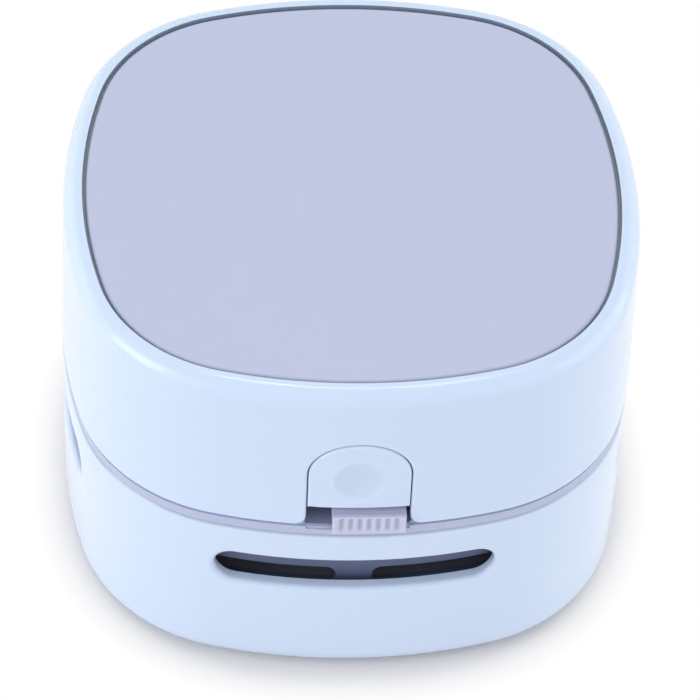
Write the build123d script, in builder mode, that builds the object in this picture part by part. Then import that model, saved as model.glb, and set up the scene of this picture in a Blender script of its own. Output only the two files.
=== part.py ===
from build123d import *
from math import atan2, degrees, hypot, radians, sin, sqrt, tan
import os

# A desktop mini vacuum cleaner, in millimetres. +Z is up, the front is towards -Y, and the
# origin lies on the desk under the middle of the body. The lower half is the dust box. The
# upper half is the machine, which lifts off it.

# ---------------------------------------------------------------- driving dimensions
# Body plan: a square with bowed sides and round corners
body_width = 86.0
side_radius = 82.0
corner_radius = 27.0
body_height = 60.0
shell_wall = 2.0

# Heights of the halves
foot_standoff = 1.0
split_height = 31.0
collar_height = 2.05
collar_inset = 0.25
shadow_groove_height = 0.55
shadow_groove_depth = 0.5
base_fillet = 3.2
seam_fillet = 1.0
rim_fillet = 2.7
wall_draft = 1.25

# Clearances
running_gap = 0.1
seat_gap = 0.15
soft_gap = 0.3
pin_gap = 0.05

# Dust box
floor_thickness = 2.4
inside_fillet = 2.0
slot_end_margin = 0.6
slot_bottom = 18.85
slot_top = 25.0
slot_edge_fillet = 0.9
ledge_height = 12.0
ledge_thickness = 1.2
ledge_reach = 2.7
foot_radius = 4.0
foot_thickness = 1.6
foot_corner_margin = 6.24

# Intake nozzle and brushes
intake_width = 44.0
intake_depth = 10.0
intake_corner = 3.0
nozzle_wall = 1.2
duct_rise = 5.2
flange_thickness = 1.2
flange_margin = 4.6
brush_groove_width = 2.6
brush_groove_depth = 2.0
brush_web = 1.6
tuft_radius = 0.55
tuft_pitch = 1.8
tuft_clear = 0.25
nozzle_screw_radius = 1.0
nozzle_screw_length = 4.6
boss_radius = 2.5
rib_length = 6.0
rib_thickness = 1.2

# Fan housing and exhaust ring
skirt_inset = 3.0
skirt_wall = 1.6
skirt_bottom = 13.4
deck_height = 24.2
deck_thickness = 1.6
lap_height = 1.4
lap_wall = 0.75
ring_lip_reach = 1.0
ring_lip_thickness = 0.8
window_top = 20.55
window_height = 4.8
window_pillar = 5.3
window_end_margin = 2.75
window_corner = 1.6
post_radius = 3.0
post_corner_margin = 5.24
spigot_wall = 1.25
spigot_height = 3.4
bay_width = 28.0
front_shelf_depth = 12.6
seal_height = 1.1

# Inlet bulkhead and filter
bulkhead_thickness = 1.4
screw_head_radius = 2.1
screw_head_height = 0.9
eye_radius = 14.0
socket_wall = 1.4
socket_depth = 2.8
filter_radius = 25.2
filter_height = 2.8
filter_rim = 2.4
filter_spoke = 1.2
filter_spokes = 8
filter_lip = 0.6
filter_hub_radius = 4.0
filter_cloth_thickness = 0.8
filter_gasket_thickness = 0.5

# Impeller
impeller_radius = 31.0
impeller_bottom = 15.6
impeller_plate = 1.2
impeller_height = 6.6
hub_radius = 4.2
blade_count = 9
blade_thickness = 1.0
blade_inner_radius = 9.0
blade_arc_radius = 24.0
blade_sweep = 52.0
blade_tip_trim = 1.6

# Motor
motor_radius = 12.2
motor_headroom = 4.7
motor_boss_radius = 3.0
damper_thickness = 1.0
end_cap_thickness = 2.0
shaft_radius = 1.0
motor_screw_place = 8.0
motor_screw_radius = 1.25
motor_screw_head = 1.1
motor_screw_bite = 2.0
end_cap_boss = 1.0
terminal_place = 7.0
terminal_height = 2.6
terminal_width = 2.4
terminal_thickness = 0.5
terminal_hole_drop = 1.2

# Cell
cell_radius = 9.15
cradle_base = 1.2
cradle_wall = 1.2
contact_thickness = 0.4
contact_width = 6.0
contact_side = 1.2
saddle_place = 18.5
strap_width = 6.0
strap_thickness = 0.6
strap_place = 12.5

# Upper shell and panel
panel_inset = 3.85
panel_groove = 0.5
panel_groove_depth = 0.9
panel_step = 0.3
panel_thickness = 1.85
panel_drop = 0.15
panel_fillet = 0.6
panel_ledge_reach = 2.4
panel_ledge_thickness = 1.4
hook_width = 6.0
hook_thickness = 1.2
hook_drop = 2.6
hook_nose = 0.9
housing_screw_radius = 1.2
housing_screw_length = 31.0

# Push button, in the front wall
button_width = 14.8
button_bottom = 36.95
button_arch_base = 43.5
button_arch_height = 6.4
button_gap = 0.15
notch_flare = 1.7
opening_fillet = 0.4
button_travel = 1.8
button_wall = 1.4
button_plug_depth = 3.4
button_flange = 1.6
dimple_radius = 4.1
dimple_depth = 0.7
dimple_height = 42.7
latch_arm_width = 2.4
latch_arm_place = 10.0
latch_arm_thickness = 1.2
latch_nose_bottom = 27.6
latch_nose_height = 1.3
catch_height = 1.0
catch_reach = 0.9
guide_pin_radius = 0.8
guide_pin_place = 4.6
guide_pin_height = 44.6
guide_pin_length = 4.4
spring_radius = 2.1
spring_wire = 0.45
spring_turns = 5
spring_height = 41.4
peg_radius = 1.5
peg_length = 1.2
button_edge_fillet = 0.3
button_shoulder_gap = 0.3
shoulder_height = 3.6
shoulder_overlap = 0.5
guide_screw_radius = 0.75
guide_screw_length = 3.5

# Power slider, under the button
knob_width = 10.7
knob_right_gap = 0.6
slider_travel = 2.8
knob_height = 3.5
knob_bottom = 32.1
knob_proud = 0.6
knob_face = 0.95
knob_fillet = 0.25
knob_grooves = 7
knob_groove_pitch = 1.34
knob_groove_width = 0.76
knob_groove_depth = 0.35
knob_groove_margin = 0.35
knob_depth = 3.6
track_reach = 1.0
stem_width = 6.0
stem_gap = 0.7
fork_depth = 2.3
lever_width = 2.0
lever_height = 1.6

# Control board and switch, behind the button
board_width = 32.4
board_height = 13.0
board_thickness = 1.2
board_setback = 11.9
rail_width = 3.4
rail_depth = 6.0
groove_depth = 1.0
switch_depth = 3.5
switch_width = 10.6
switch_height = 4.4
guide_thickness = 1.4
guide_height = 10.5
driver_place = 9.0
driver_width = 5.0
driver_depth = 4.0
driver_thickness = 1.1
regulator_place = 8.0
regulator_width = 3.0
coil_width = 6.0
coil_thickness = 2.6
coil_corner = 1.5
chip_height = 6.0
regulator_height = 8.0

# Charging board, socket and light, at the back
charge_board_width = 24.0
cell_back_gap = 0.2
charge_board_thickness = 1.0
charge_post_height = 4.95
charge_post_radius = 1.7
usb_width = 8.94
usb_height = 3.26
usb_length = 7.2
usb_wall = 0.3
usb_recess = 0.7
usb_opening_gap = 0.2
usb_tongue = 0.7
light_radius = 1.2
light_place = 9.0

# ---------------------------------------------------------------- worked-out heights and places
half_width = body_width / 2

# The plan's corner arcs are centred on the diagonals, where they run tangent into the sides.
side_centre = half_width - side_radius
corner_centre = (side_centre + sqrt(2 * (side_radius - corner_radius) ** 2 - side_centre**2)) / 2
side_half_angle = degrees(atan2(corner_centre, corner_centre - side_centre))
side_length = 2 * side_radius * sin(radians(side_half_angle))
corner_reach = corner_centre + corner_radius / sqrt(2)

slot_width = side_length - 2 * slot_end_margin
window_width = (slot_width + 2 * window_end_margin - window_pillar) / 2
foot_place = corner_reach - foot_corner_margin
post_place = corner_reach - post_corner_margin
floor_top = foot_standoff + floor_thickness
collar_top = split_height + collar_height
band_height = collar_height - shadow_groove_height
band_top = split_height + band_height
groove_face_inset = collar_inset + shadow_groove_depth
deck_top = deck_height + deck_thickness
lap_bottom = deck_height + deck_thickness / 2
ring_top = lap_bottom + lap_height
skirt_inner_inset = skirt_inset + skirt_wall
bulkhead_top = skirt_bottom + bulkhead_thickness
motor_bottom = deck_top + damper_thickness
post_top = collar_top + 0.95
panel_top = body_height - panel_drop
panel_bottom = panel_top - panel_thickness
end_cap_top = panel_bottom - motor_headroom
motor_top = end_cap_top - end_cap_thickness
motor_length = motor_top - motor_bottom
panel_opening_inset = panel_inset - panel_groove
panel_step_inset = panel_inset + panel_step
panel_groove_floor = body_height - panel_groove_depth
panel_ledge_inset = panel_opening_inset + panel_ledge_reach
panel_ledge_bottom = panel_bottom - panel_ledge_thickness
impeller_top = impeller_bottom + impeller_height
socket_radius = filter_radius + soft_gap
filter_bottom = skirt_bottom - soft_gap - filter_gasket_thickness - filter_height
notch_half = button_width / 2 + button_gap
knob_rest_x = notch_half - knob_right_gap - knob_width / 2
knob_top = knob_bottom + knob_height
knob_front_y = -half_width - knob_proud
knob_back_y = knob_front_y + knob_face
groove_bottom = collar_top + 0.95
board_front_y = -half_width + board_setback
rail_centre_x = board_width / 2 - groove_depth + rail_width / 2
rail_front_y = board_front_y - (rail_depth - board_thickness) / 2
guide_front_y = rail_front_y - guide_thickness
guide_bottom = knob_top + 2.9
switch_bottom = collar_top + 0.2
lever_bottom = switch_bottom + 0.4
nozzle_width = intake_width + 2 * nozzle_wall
nozzle_depth = intake_depth + 2 * nozzle_wall
block_depth = nozzle_depth + 2 * (brush_groove_width + brush_web)
block_width = nozzle_width + 2 * brush_web
block_top = foot_standoff + brush_groove_depth + 0.8
flange_width = block_width + 2 * flange_margin
flange_depth = block_depth + 2 * flange_margin + 4.0
nozzle_screw_x = block_width / 2 + flange_margin / 2 - 0.2
nozzle_screw_y = block_depth / 2 + boss_radius + 0.4
brush_y = nozzle_depth / 2 + brush_groove_width / 2
cell_length = 2 * (post_place - post_radius - running_gap)
cell_axis_z = deck_top + cradle_base + cell_radius + 2 * pin_gap
cell_centre_y = motor_radius + strap_thickness + pin_gap + cell_radius
cell_back_y = cell_centre_y + cell_radius + pin_gap + strap_thickness
back_shelf_depth = half_width - cell_back_y - cell_back_gap
usb_axis_z = collar_top + charge_post_height + charge_board_thickness + usb_height / 2

shoulder_bottom = button_bottom + button_shoulder_gap
button_pocket_back = button_plug_depth + latch_arm_thickness + 1
knob_body_y = -half_width + knob_depth
stem_end_y = board_front_y - switch_depth - stem_gap
charge_board_bottom = collar_top + charge_post_height
usb_mouth_y = half_width - usb_recess

# Alignment of a solid that stands on its plane
upwards = (Align.CENTER, Align.CENTER, Align.MIN)
corner_points = [(sx, sy) for sx in (-1, 1) for sy in (-1, 1)]


def body_plan(inset=0.0, mode=Mode.ADD):
    """Draw the body's plan, drawn in by inset all round, in the open sketch."""
    with BuildLine() as lines:
        for quarter in range(4):
            turn = 90 * quarter
            side = Vector(side_centre, 0).rotate(Axis.Z, turn)
            corner = Vector(corner_centre, corner_centre).rotate(Axis.Z, turn)
            CenterArc(side, side_radius - inset, turn - side_half_angle, 2 * side_half_angle)
            CenterArc(corner, corner_radius - inset, turn + side_half_angle, 90 - 2 * side_half_angle)
    make_face(lines.edges(), mode=mode)


def body_ring(outer_inset, inner_inset):
    """Draw a ring between two insets of the body's plan."""
    body_plan(outer_inset)
    body_plan(inner_inset, Mode.SUBTRACT)


def front_strip(outer_inset, inner_inset, x_from, x_to):
    """Draw the stretch of a ring that lies in the front wall, from x_from to x_to."""
    body_ring(outer_inset, inner_inset)
    with Locations(((x_from + x_to) / 2, -half_width)):
        Rectangle(abs(x_to - x_from), half_width, mode=Mode.INTERSECT)


def wall_plane(turn=0.0, distance=0.0):
    """A plane that faces out through one wall: its x runs along the wall and its y is up."""
    outward = Vector(0, -1, 0).rotate(Axis.Z, turn)
    return Plane(origin=outward * distance, x_dir=Vector(1, 0, 0).rotate(Axis.Z, turn), z_dir=outward)


def front_y(x, inset=0.0):
    """Y of the front wall's bowed side at x, drawn in by inset."""
    return -(side_centre + sqrt((side_radius - inset) ** 2 - x**2))


def front_inset(point):
    """How far a point lies behind the front wall's outer face."""
    return side_radius - hypot(point.X, point.Y + side_centre)


def wall_lean(height):
    """How far the upper shell's drafted wall has leaned in at a height."""
    return (height - collar_top) * tan(radians(wall_draft))


def half_sagitta(width):
    """How far the bowed side falls back from its middle at half of width to either side."""
    return side_radius - sqrt(side_radius**2 - (width / 2) ** 2)


def arch(width, bottom, arch_base, arch_height, mode=Mode.ADD):
    """Draw the button's outline: straight sides under a half-elliptical arch."""
    with BuildLine() as lines:
        Polyline((-width / 2, arch_base), (-width / 2, bottom), (width / 2, bottom), (width / 2, arch_base))
        EllipticalCenterArc((0, arch_base), width / 2, arch_height, start_angle=0, arc_size=180)
    make_face(lines.edges(), mode=mode)


def at_corners(place):
    """The four points at (+-place, +-place)."""
    return [(sx * place, sy * place) for sx, sy in corner_points]


def finish(piece, name):
    """Name a finished piece and write it."""
    piece.part.label = name
    export_step(piece.part, f"parts/{name}.step")


# The charging board stands just clear of the back wall, which is bowed.
charge_board_back = half_width - shell_wall - half_sagitta(charge_board_width) - soft_gap
charge_board_depth = charge_board_back - cell_back_y - cell_back_gap
charge_board_y = charge_board_back - charge_board_depth / 2

os.makedirs("parts", exist_ok=True)

# ================================================================ dust box

# ---------------------------------------------------------------- lower shell
with BuildPart() as lower_shell:
    with BuildSketch(Plane.XY.offset(foot_standoff)):
        body_plan()
    extrude(amount=split_height - foot_standoff)
    fillet(lower_shell.edges().group_by(Axis.Z)[0], radius=base_fillet)
    fillet(lower_shell.edges().group_by(Axis.Z)[-1], radius=seam_fillet)
    with BuildSketch(Plane.XY.offset(floor_top)):
        body_plan(shell_wall)
    extrude(amount=split_height - floor_top, mode=Mode.SUBTRACT)
    inside_corner = lower_shell.faces().filter_by(Axis.Z).filter_by_position(Axis.Z, floor_top, floor_top)
    fillet(inside_corner.edges(), radius=inside_fillet)
    # ledge that the machine's seal comes down to
    with BuildSketch(Plane.XY.offset(ledge_height - ledge_thickness)):
        body_ring(shell_wall - running_gap, shell_wall + ledge_reach)
    extrude(amount=ledge_thickness)
    # one exhaust slot in each wall, with its outer edge rounded
    for side in range(4):
        with BuildSketch(wall_plane(90 * side, half_width - shell_wall - slot_width / 8)) as slot:
            with Locations((0, (slot_bottom + slot_top) / 2)):
                SlotOverall(slot_width, slot_top - slot_bottom)
        extrude(amount=slot_width / 4, mode=Mode.SUBTRACT)
    outer_walls = lower_shell.faces().filter_by(
        lambda face: face.geom_type == GeomType.CYLINDER and abs(face.radius - side_radius) < 0.01
    )
    slot_edges = [edge for wall in outer_walls for wire in wall.inner_wires() for edge in wire.edges()]
    fillet(slot_edges, radius=slot_edge_fillet)
    # recess and opening for the intake nozzle
    with BuildSketch(Plane.XY.offset(foot_standoff)):
        RectangleRounded(flange_width + 2 * seat_gap, flange_depth + 2 * seat_gap, 6 + seat_gap)
    extrude(amount=flange_thickness, mode=Mode.SUBTRACT)
    with BuildSketch(Plane.XY.offset(foot_standoff)):
        RectangleRounded(block_width + 2 * seat_gap, block_depth + 2 * seat_gap, 3)
    extrude(amount=floor_thickness, mode=Mode.SUBTRACT)
    # bosses for the nozzle's screws
    with BuildSketch(Plane.XY.offset(foot_standoff + flange_thickness)):
        with GridLocations(2 * nozzle_screw_x, 2 * nozzle_screw_y, 2, 2):
            Circle(boss_radius)
    extrude(amount=nozzle_screw_length)
    with BuildSketch(Plane.XY.offset(foot_standoff)):
        with GridLocations(2 * nozzle_screw_x, 2 * nozzle_screw_y, 2, 2):
            Circle(nozzle_screw_radius + pin_gap)
    extrude(amount=nozzle_screw_length + pin_gap, mode=Mode.SUBTRACT)
    # seats for the feet
    with BuildSketch(Plane.XY.offset(foot_standoff)):
        with Locations(*at_corners(foot_place)):
            Circle(foot_radius + running_gap)
    extrude(amount=foot_thickness - foot_standoff, mode=Mode.SUBTRACT)
    # two catches for the button's latch noses, inside the front wall
    for sign in (-1, 1):
        near = sign * (latch_arm_place - latch_arm_width / 2 - running_gap)
        far = sign * (latch_arm_place + latch_arm_width / 2 + running_gap)
        with BuildSketch(Plane.XY.offset(latch_nose_bottom + latch_nose_height + running_gap)):
            front_strip(shell_wall - running_gap, shell_wall + catch_reach, near, far)
        extrude(amount=catch_height)
finish(lower_shell, "lower_shell")

# ---------------------------------------------------------------- feet
with BuildPart() as feet:
    with BuildSketch():
        with Locations(*at_corners(foot_place)):
            Circle(foot_radius)
    extrude(amount=foot_thickness)
    fillet(feet.edges().group_by(Axis.Z)[0], radius=0.4)
finish(feet, "feet")

# ---------------------------------------------------------------- intake nozzle
with BuildPart() as intake_nozzle:
    with BuildSketch(Plane.XY.offset(foot_standoff)):
        RectangleRounded(flange_width, flange_depth, 6)
    extrude(amount=flange_thickness)
    with BuildSketch(Plane.XY.offset(foot_standoff)):
        RectangleRounded(block_width, block_depth, 3 - seat_gap)
    extrude(amount=block_top - foot_standoff)
    with BuildSketch(Plane.XY.offset(block_top)):
        RectangleRounded(nozzle_width, nozzle_depth, intake_corner + nozzle_wall)
    extrude(amount=foot_standoff + duct_rise - block_top)
    with BuildSketch(Plane.XY.offset(foot_standoff)):
        RectangleRounded(intake_width, intake_depth, intake_corner)
    extrude(amount=duct_rise, mode=Mode.SUBTRACT)
    mouth_edges = intake_nozzle.faces().sort_by(Axis.Z)[0].inner_wires()[0].edges()
    chamfer(mouth_edges, length=0.8)
    # grooves that hold the brushes, before and behind the mouth
    with BuildSketch(Plane.XY.offset(foot_standoff)):
        with GridLocations(0, 2 * brush_y, 1, 2):
            Rectangle(intake_width, brush_groove_width)
    extrude(amount=brush_groove_depth, mode=Mode.SUBTRACT)
    with Locations(Plane.XY.offset(foot_standoff)):
        with GridLocations(2 * nozzle_screw_x, 2 * nozzle_screw_y, 2, 2):
            Cone(
                nozzle_screw_radius * 2,
                nozzle_screw_radius + pin_gap,
                nozzle_screw_radius - pin_gap,
                align=upwards,
                mode=Mode.SUBTRACT,
            )
            Cylinder(
                nozzle_screw_radius + pin_gap,
                flange_thickness,
                align=upwards,
                mode=Mode.SUBTRACT,
            )
finish(intake_nozzle, "intake_nozzle")

# ---------------------------------------------------------------- nozzle screws
with BuildPart() as nozzle_screws:
    with Locations(Plane.XY.offset(foot_standoff)):
        with GridLocations(2 * nozzle_screw_x, 2 * nozzle_screw_y, 2, 2):
            Cone(
                nozzle_screw_radius * 2 - pin_gap,
                nozzle_screw_radius,
                nozzle_screw_radius - pin_gap,
                align=upwards,
            )
            Cylinder(nozzle_screw_radius, nozzle_screw_length, align=upwards)
            Box(
                2.2,
                0.5,
                0.4,
                align=upwards,
                mode=Mode.SUBTRACT,
            )
            Box(
                0.5,
                2.2,
                0.4,
                align=upwards,
                mode=Mode.SUBTRACT,
            )
finish(nozzle_screws, "nozzle_screws")

# ---------------------------------------------------------------- brushes
brush_length = intake_width - 2 * running_gap
brush_top = foot_standoff + brush_groove_depth
brush_bottom = foot_standoff + running_gap
tuft_count = int((brush_length - 2 * tuft_radius) / tuft_pitch) + 1
with BuildPart() as brush_carriers:
    with BuildSketch(Plane.XY.offset(brush_bottom)):
        with GridLocations(0, 2 * brush_y, 1, 2):
            Rectangle(brush_length, brush_groove_width - 2 * running_gap)
    extrude(amount=brush_top - brush_bottom)
finish(brush_carriers, "brush_carriers")

with BuildPart() as brush_bristles:
    with BuildSketch(Plane.XY.offset(tuft_clear)):
        with GridLocations(tuft_pitch, 2 * brush_y, tuft_count, 2):
            RegularPolygon(tuft_radius, 6)
    extrude(amount=brush_bottom - tuft_clear)
finish(brush_bristles, "brush_bristles")

# ================================================================ machine

# ---------------------------------------------------------------- fan housing
with BuildPart() as fan_housing:
    # skirt that reaches down into the dust box, thinned where the exhaust ring laps over it
    with BuildSketch(Plane.XY.offset(lap_bottom)):
        body_ring(skirt_inset + lap_wall + pin_gap, skirt_inner_inset)
    extrude(amount=split_height - lap_bottom)
    with BuildSketch(Plane.XY.offset(ring_top)):
        body_ring(skirt_inset, skirt_inner_inset)
    extrude(amount=split_height - ring_top)
    # collar: the band that shows between the halves, and the shadow groove above it
    with BuildSketch(Plane.XY.offset(split_height)):
        body_ring(collar_inset, skirt_inner_inset)
    extrude(amount=band_height)
    with BuildSketch(Plane.XY.offset(band_top)):
        body_ring(groove_face_inset, skirt_inner_inset)
    extrude(amount=shadow_groove_height)
    # spigot inside the upper shell, left open at the front and back bays
    with BuildSketch(Plane.XY.offset(collar_top)):
        body_ring(shell_wall + seat_gap, shell_wall + seat_gap + spigot_wall)
        Rectangle(bay_width, body_width, mode=Mode.SUBTRACT)
    extrude(amount=spigot_height)
    # front and back bays: the collar runs on inwards as a shelf
    for toward, shelf_depth in ((-1, front_shelf_depth), (1, back_shelf_depth)):
        with BuildSketch(Plane.XY.offset(split_height)):
            body_plan(groove_face_inset)
            with Locations((0, toward * (half_width - shelf_depth / 2))):
                Rectangle(bay_width, shelf_depth, mode=Mode.INTERSECT)
        extrude(amount=collar_height)
    # deck that carries the motor, and the corner posts for the long screws
    with BuildSketch(Plane.XY.offset(deck_height)):
        body_plan(skirt_inner_inset + pin_gap)
    extrude(amount=deck_thickness)
    with BuildSketch(Plane.XY.offset(lap_bottom)):
        body_plan(skirt_inner_inset - running_gap)
    extrude(amount=deck_top - lap_bottom)
    with BuildSketch(Plane.XY.offset(bulkhead_top)):
        with Locations(*at_corners(post_place)):
            Circle(post_radius)
    extrude(amount=post_top - bulkhead_top)
    with BuildSketch(Plane.XY.offset(bulkhead_top)):
        with Locations(*at_corners(post_place)):
            Circle(housing_screw_radius + pin_gap)
    extrude(amount=post_top - bulkhead_top, mode=Mode.SUBTRACT)
    # motor seat
    with BuildSketch(Plane.XY.offset(deck_height)):
        Circle(motor_boss_radius + running_gap)
        with GridLocations(2 * motor_screw_place, 0, 2, 1):
            Circle(motor_screw_radius + pin_gap)
    extrude(amount=deck_thickness, mode=Mode.SUBTRACT)
    # ways for the button's latch arms, through the shelf and the skirt's top
    way_half = latch_arm_width / 2 + seat_gap + running_gap
    way_inner = button_plug_depth + latch_arm_thickness + button_travel + 2 * running_gap
    for sign in (-1, 1):
        way_near = sign * latch_arm_place - way_half
        way_far = sign * latch_arm_place + way_half
        with BuildSketch(Plane.XY.offset(latch_nose_bottom - soft_gap)):
            front_strip(shell_wall, way_inner, way_near, way_far)
        extrude(amount=collar_top - latch_nose_bottom + soft_gap, mode=Mode.SUBTRACT)
    # behind the slider's knob the band is cut back, and a pocket takes the knob's track
    with BuildSketch(Plane.XY.offset(knob_bottom - running_gap)):
        front_strip(0, half_width + knob_back_y + seat_gap, -notch_half, notch_half)
    extrude(amount=collar_top - knob_bottom + running_gap, mode=Mode.SUBTRACT)
    with BuildSketch(Plane.XY.offset(band_top)):
        front_strip(0, knob_depth + track_reach + pin_gap, -notch_half - pin_gap, notch_half + pin_gap)
    extrude(amount=shadow_groove_height, mode=Mode.SUBTRACT)
    # rails that hold the control board and the latch guide
    with BuildSketch(Plane.XY.offset(deck_top)):
        with GridLocations(2 * rail_centre_x, 0, 2, 1):
            with Locations((0, rail_front_y + rail_depth / 2)):
                Rectangle(rail_width, rail_depth)
    extrude(amount=groove_bottom + board_height - deck_top)
    with BuildSketch(Plane.XY.offset(groove_bottom)):
        with Locations((0, board_front_y + board_thickness / 2)):
            Rectangle(board_width + 2 * running_gap, board_thickness + 2 * pin_gap)
    extrude(amount=board_height, mode=Mode.SUBTRACT)
    with BuildSketch(wall_plane(0, -rail_front_y)):
        with Locations((0, guide_bottom + guide_height / 2)):
            with GridLocations(2 * rail_centre_x, 0, 2, 1):
                Circle(guide_screw_radius + pin_gap)
    extrude(amount=guide_thickness - guide_screw_length, mode=Mode.SUBTRACT)
    # posts for the charging board
    with BuildSketch(Plane.XY.offset(collar_top)):
        with GridLocations(charge_board_width - 2 * charge_post_radius, 0, 2, 1):
            with Locations((0, charge_board_y)):
                Circle(charge_post_radius)
    extrude(amount=charge_post_height)
finish(fan_housing, "fan_housing")

# ---------------------------------------------------------------- exhaust ring, clamped under the housing
with BuildPart() as exhaust_ring:
    with BuildSketch(Plane.XY.offset(skirt_bottom)):
        body_ring(skirt_inset, skirt_inner_inset)
    extrude(amount=lap_bottom - skirt_bottom)
    # thin upper edge that laps over the housing's skirt
    with BuildSketch(Plane.XY.offset(lap_bottom)):
        body_ring(skirt_inset, skirt_inset + lap_wall)
    extrude(amount=lap_height - pin_gap)
    # lip that stands on the inlet bulkhead
    with BuildSketch(Plane.XY.offset(bulkhead_top)):
        body_ring(skirt_inner_inset - running_gap, skirt_inner_inset + ring_lip_reach)
    extrude(amount=ring_lip_thickness)
    # hollows that the corner posts stand in
    with BuildSketch(Plane.XY.offset(bulkhead_top)):
        with Locations(*at_corners(post_place)):
            Circle(post_radius + pin_gap)
    extrude(amount=lap_bottom - bulkhead_top, mode=Mode.SUBTRACT)
    # two windows in each wall, either side of a pillar
    for side in range(4):
        with BuildSketch(wall_plane(90 * side, half_width - skirt_inner_inset - window_width / 3)):
            with GridLocations(window_pillar + window_width, 0, 2, 1):
                with Locations((0, window_top - window_height / 2)):
                    RectangleRounded(window_width, window_height, window_corner)
        extrude(amount=window_width, mode=Mode.SUBTRACT)
finish(exhaust_ring, "exhaust_ring")

# ---------------------------------------------------------------- inlet bulkhead
with BuildPart() as inlet_bulkhead:
    with BuildSketch(Plane.XY.offset(skirt_bottom)):
        body_plan(skirt_inner_inset + running_gap)
        Circle(eye_radius, mode=Mode.SUBTRACT)
    extrude(amount=bulkhead_thickness)
    eye_edges = inlet_bulkhead.edges().filter_by(GeomType.CIRCLE).filter_by(
        lambda edge: abs(edge.radius - eye_radius) < 0.01
    )
    fillet(eye_edges, radius=bulkhead_thickness * 0.45)
    # socket that the filter pushes up into
    with BuildSketch(Plane.XY.offset(skirt_bottom - socket_depth)):
        Circle(socket_radius + socket_wall)
        Circle(socket_radius, mode=Mode.SUBTRACT)
    extrude(amount=socket_depth)
    with Locations(Plane.XY.offset(skirt_bottom)):
        with Locations(*at_corners(post_place)):
            Cylinder(
                housing_screw_radius + pin_gap,
                bulkhead_thickness,
                align=upwards,
                mode=Mode.SUBTRACT,
            )
            Cone(
                screw_head_radius + pin_gap,
                housing_screw_radius + pin_gap,
                screw_head_height,
                align=upwards,
                mode=Mode.SUBTRACT,
            )
finish(inlet_bulkhead, "inlet_bulkhead")

# ---------------------------------------------------------------- long screws, bulkhead to upper shell
with BuildPart() as housing_screws:
    with Locations(Plane.XY.offset(skirt_bottom)):
        with Locations(*at_corners(post_place)):
            Cylinder(housing_screw_radius, housing_screw_length, align=upwards)
            Cone(
                screw_head_radius,
                housing_screw_radius,
                screw_head_height,
                align=upwards,
            )
            Box(2.4, 0.5, 0.5, align=upwards, mode=Mode.SUBTRACT)
            Box(0.5, 2.4, 0.5, align=upwards, mode=Mode.SUBTRACT)
finish(housing_screws, "housing_screws")

# ---------------------------------------------------------------- seal under the skirt
with BuildPart() as chamber_seal:
    with BuildSketch(Plane.XY.offset(skirt_bottom - seal_height)):
        body_ring(skirt_inset + seat_gap, skirt_inner_inset - running_gap)
    extrude(amount=seal_height)
finish(chamber_seal, "chamber_seal")

# ---------------------------------------------------------------- filter
with BuildPart() as filter_frame:
    with BuildSketch(Plane.XY.offset(filter_bottom)):
        Circle(filter_radius)
        Circle(filter_radius - filter_rim, mode=Mode.SUBTRACT)
    extrude(amount=filter_height)
    # lip that stops against the socket's rim
    with BuildSketch(Plane.XY.offset(filter_bottom)):
        Circle(socket_radius + socket_wall)
        Circle(filter_radius - filter_rim, mode=Mode.SUBTRACT)
    extrude(amount=filter_lip)
    # spokes and the hub that fingers pull on
    with BuildSketch(Plane.XY.offset(filter_bottom)):
        with PolarLocations(0, filter_spokes // 2, angular_range=180, endpoint=False):
            Rectangle(2 * filter_radius - filter_rim, filter_spoke)
        Circle(filter_hub_radius)
    extrude(amount=filter_spoke)
    fillet(filter_frame.edges().group_by(Axis.Z)[-1], radius=0.3)
finish(filter_frame, "filter_frame")

with BuildPart() as filter_cloth:
    with BuildSketch(Plane.XY.offset(filter_bottom + filter_spoke)):
        Circle(filter_radius - filter_rim - running_gap)
    extrude(amount=filter_cloth_thickness)
finish(filter_cloth, "filter_cloth")

with BuildPart() as filter_gasket:
    with BuildSketch(Plane.XY.offset(filter_bottom + filter_height)):
        Circle(filter_radius - 0.4)
        Circle(filter_radius - filter_rim + 0.4, mode=Mode.SUBTRACT)
    extrude(amount=filter_gasket_thickness)
finish(filter_gasket, "filter_gasket")

# ---------------------------------------------------------------- impeller
with BuildPart() as impeller:
    # back plate with its hub
    with BuildSketch(Plane.XY.offset(impeller_top - impeller_plate)):
        Circle(impeller_radius)
    extrude(amount=impeller_plate)
    with BuildSketch(Plane.XY.offset(impeller_bottom)):
        Circle(hub_radius)
    extrude(amount=impeller_height - impeller_plate)
    fillet(impeller.edges().group_by(Axis.Z)[0], radius=1.2)
    # backward-curved blades that hang under the plate
    for blade in range(blade_count):
        blade_turn = 360 * blade / blade_count
        blade_root = Vector(blade_inner_radius, 0).rotate(Axis.Z, blade_turn)
        blade_tip = Vector(impeller_radius - blade_thickness, 0).rotate(Axis.Z, blade_turn - blade_sweep)
        with BuildSketch(Plane.XY.offset(impeller_bottom)):
            with BuildLine():
                RadiusArc(blade_root, blade_tip, blade_arc_radius)
            trace(line_width=blade_thickness)
        extrude(amount=impeller_height - impeller_plate)
    # the blades' lower edges rise towards the rim
    with BuildSketch(Plane.XZ):
        with BuildLine():
            Polyline(
                (eye_radius, impeller_bottom),
                (impeller_radius + 1, impeller_bottom),
                (impeller_radius + 1, impeller_bottom + blade_tip_trim),
                close=True,
            )
        make_face()
    revolve(axis=Axis.Z, mode=Mode.SUBTRACT)
    with Locations((0, 0, impeller_bottom)):
        Cylinder(
            shaft_radius + 0.02,
            impeller_height,
            align=upwards,
            mode=Mode.SUBTRACT,
        )
finish(impeller, "impeller")

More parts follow.
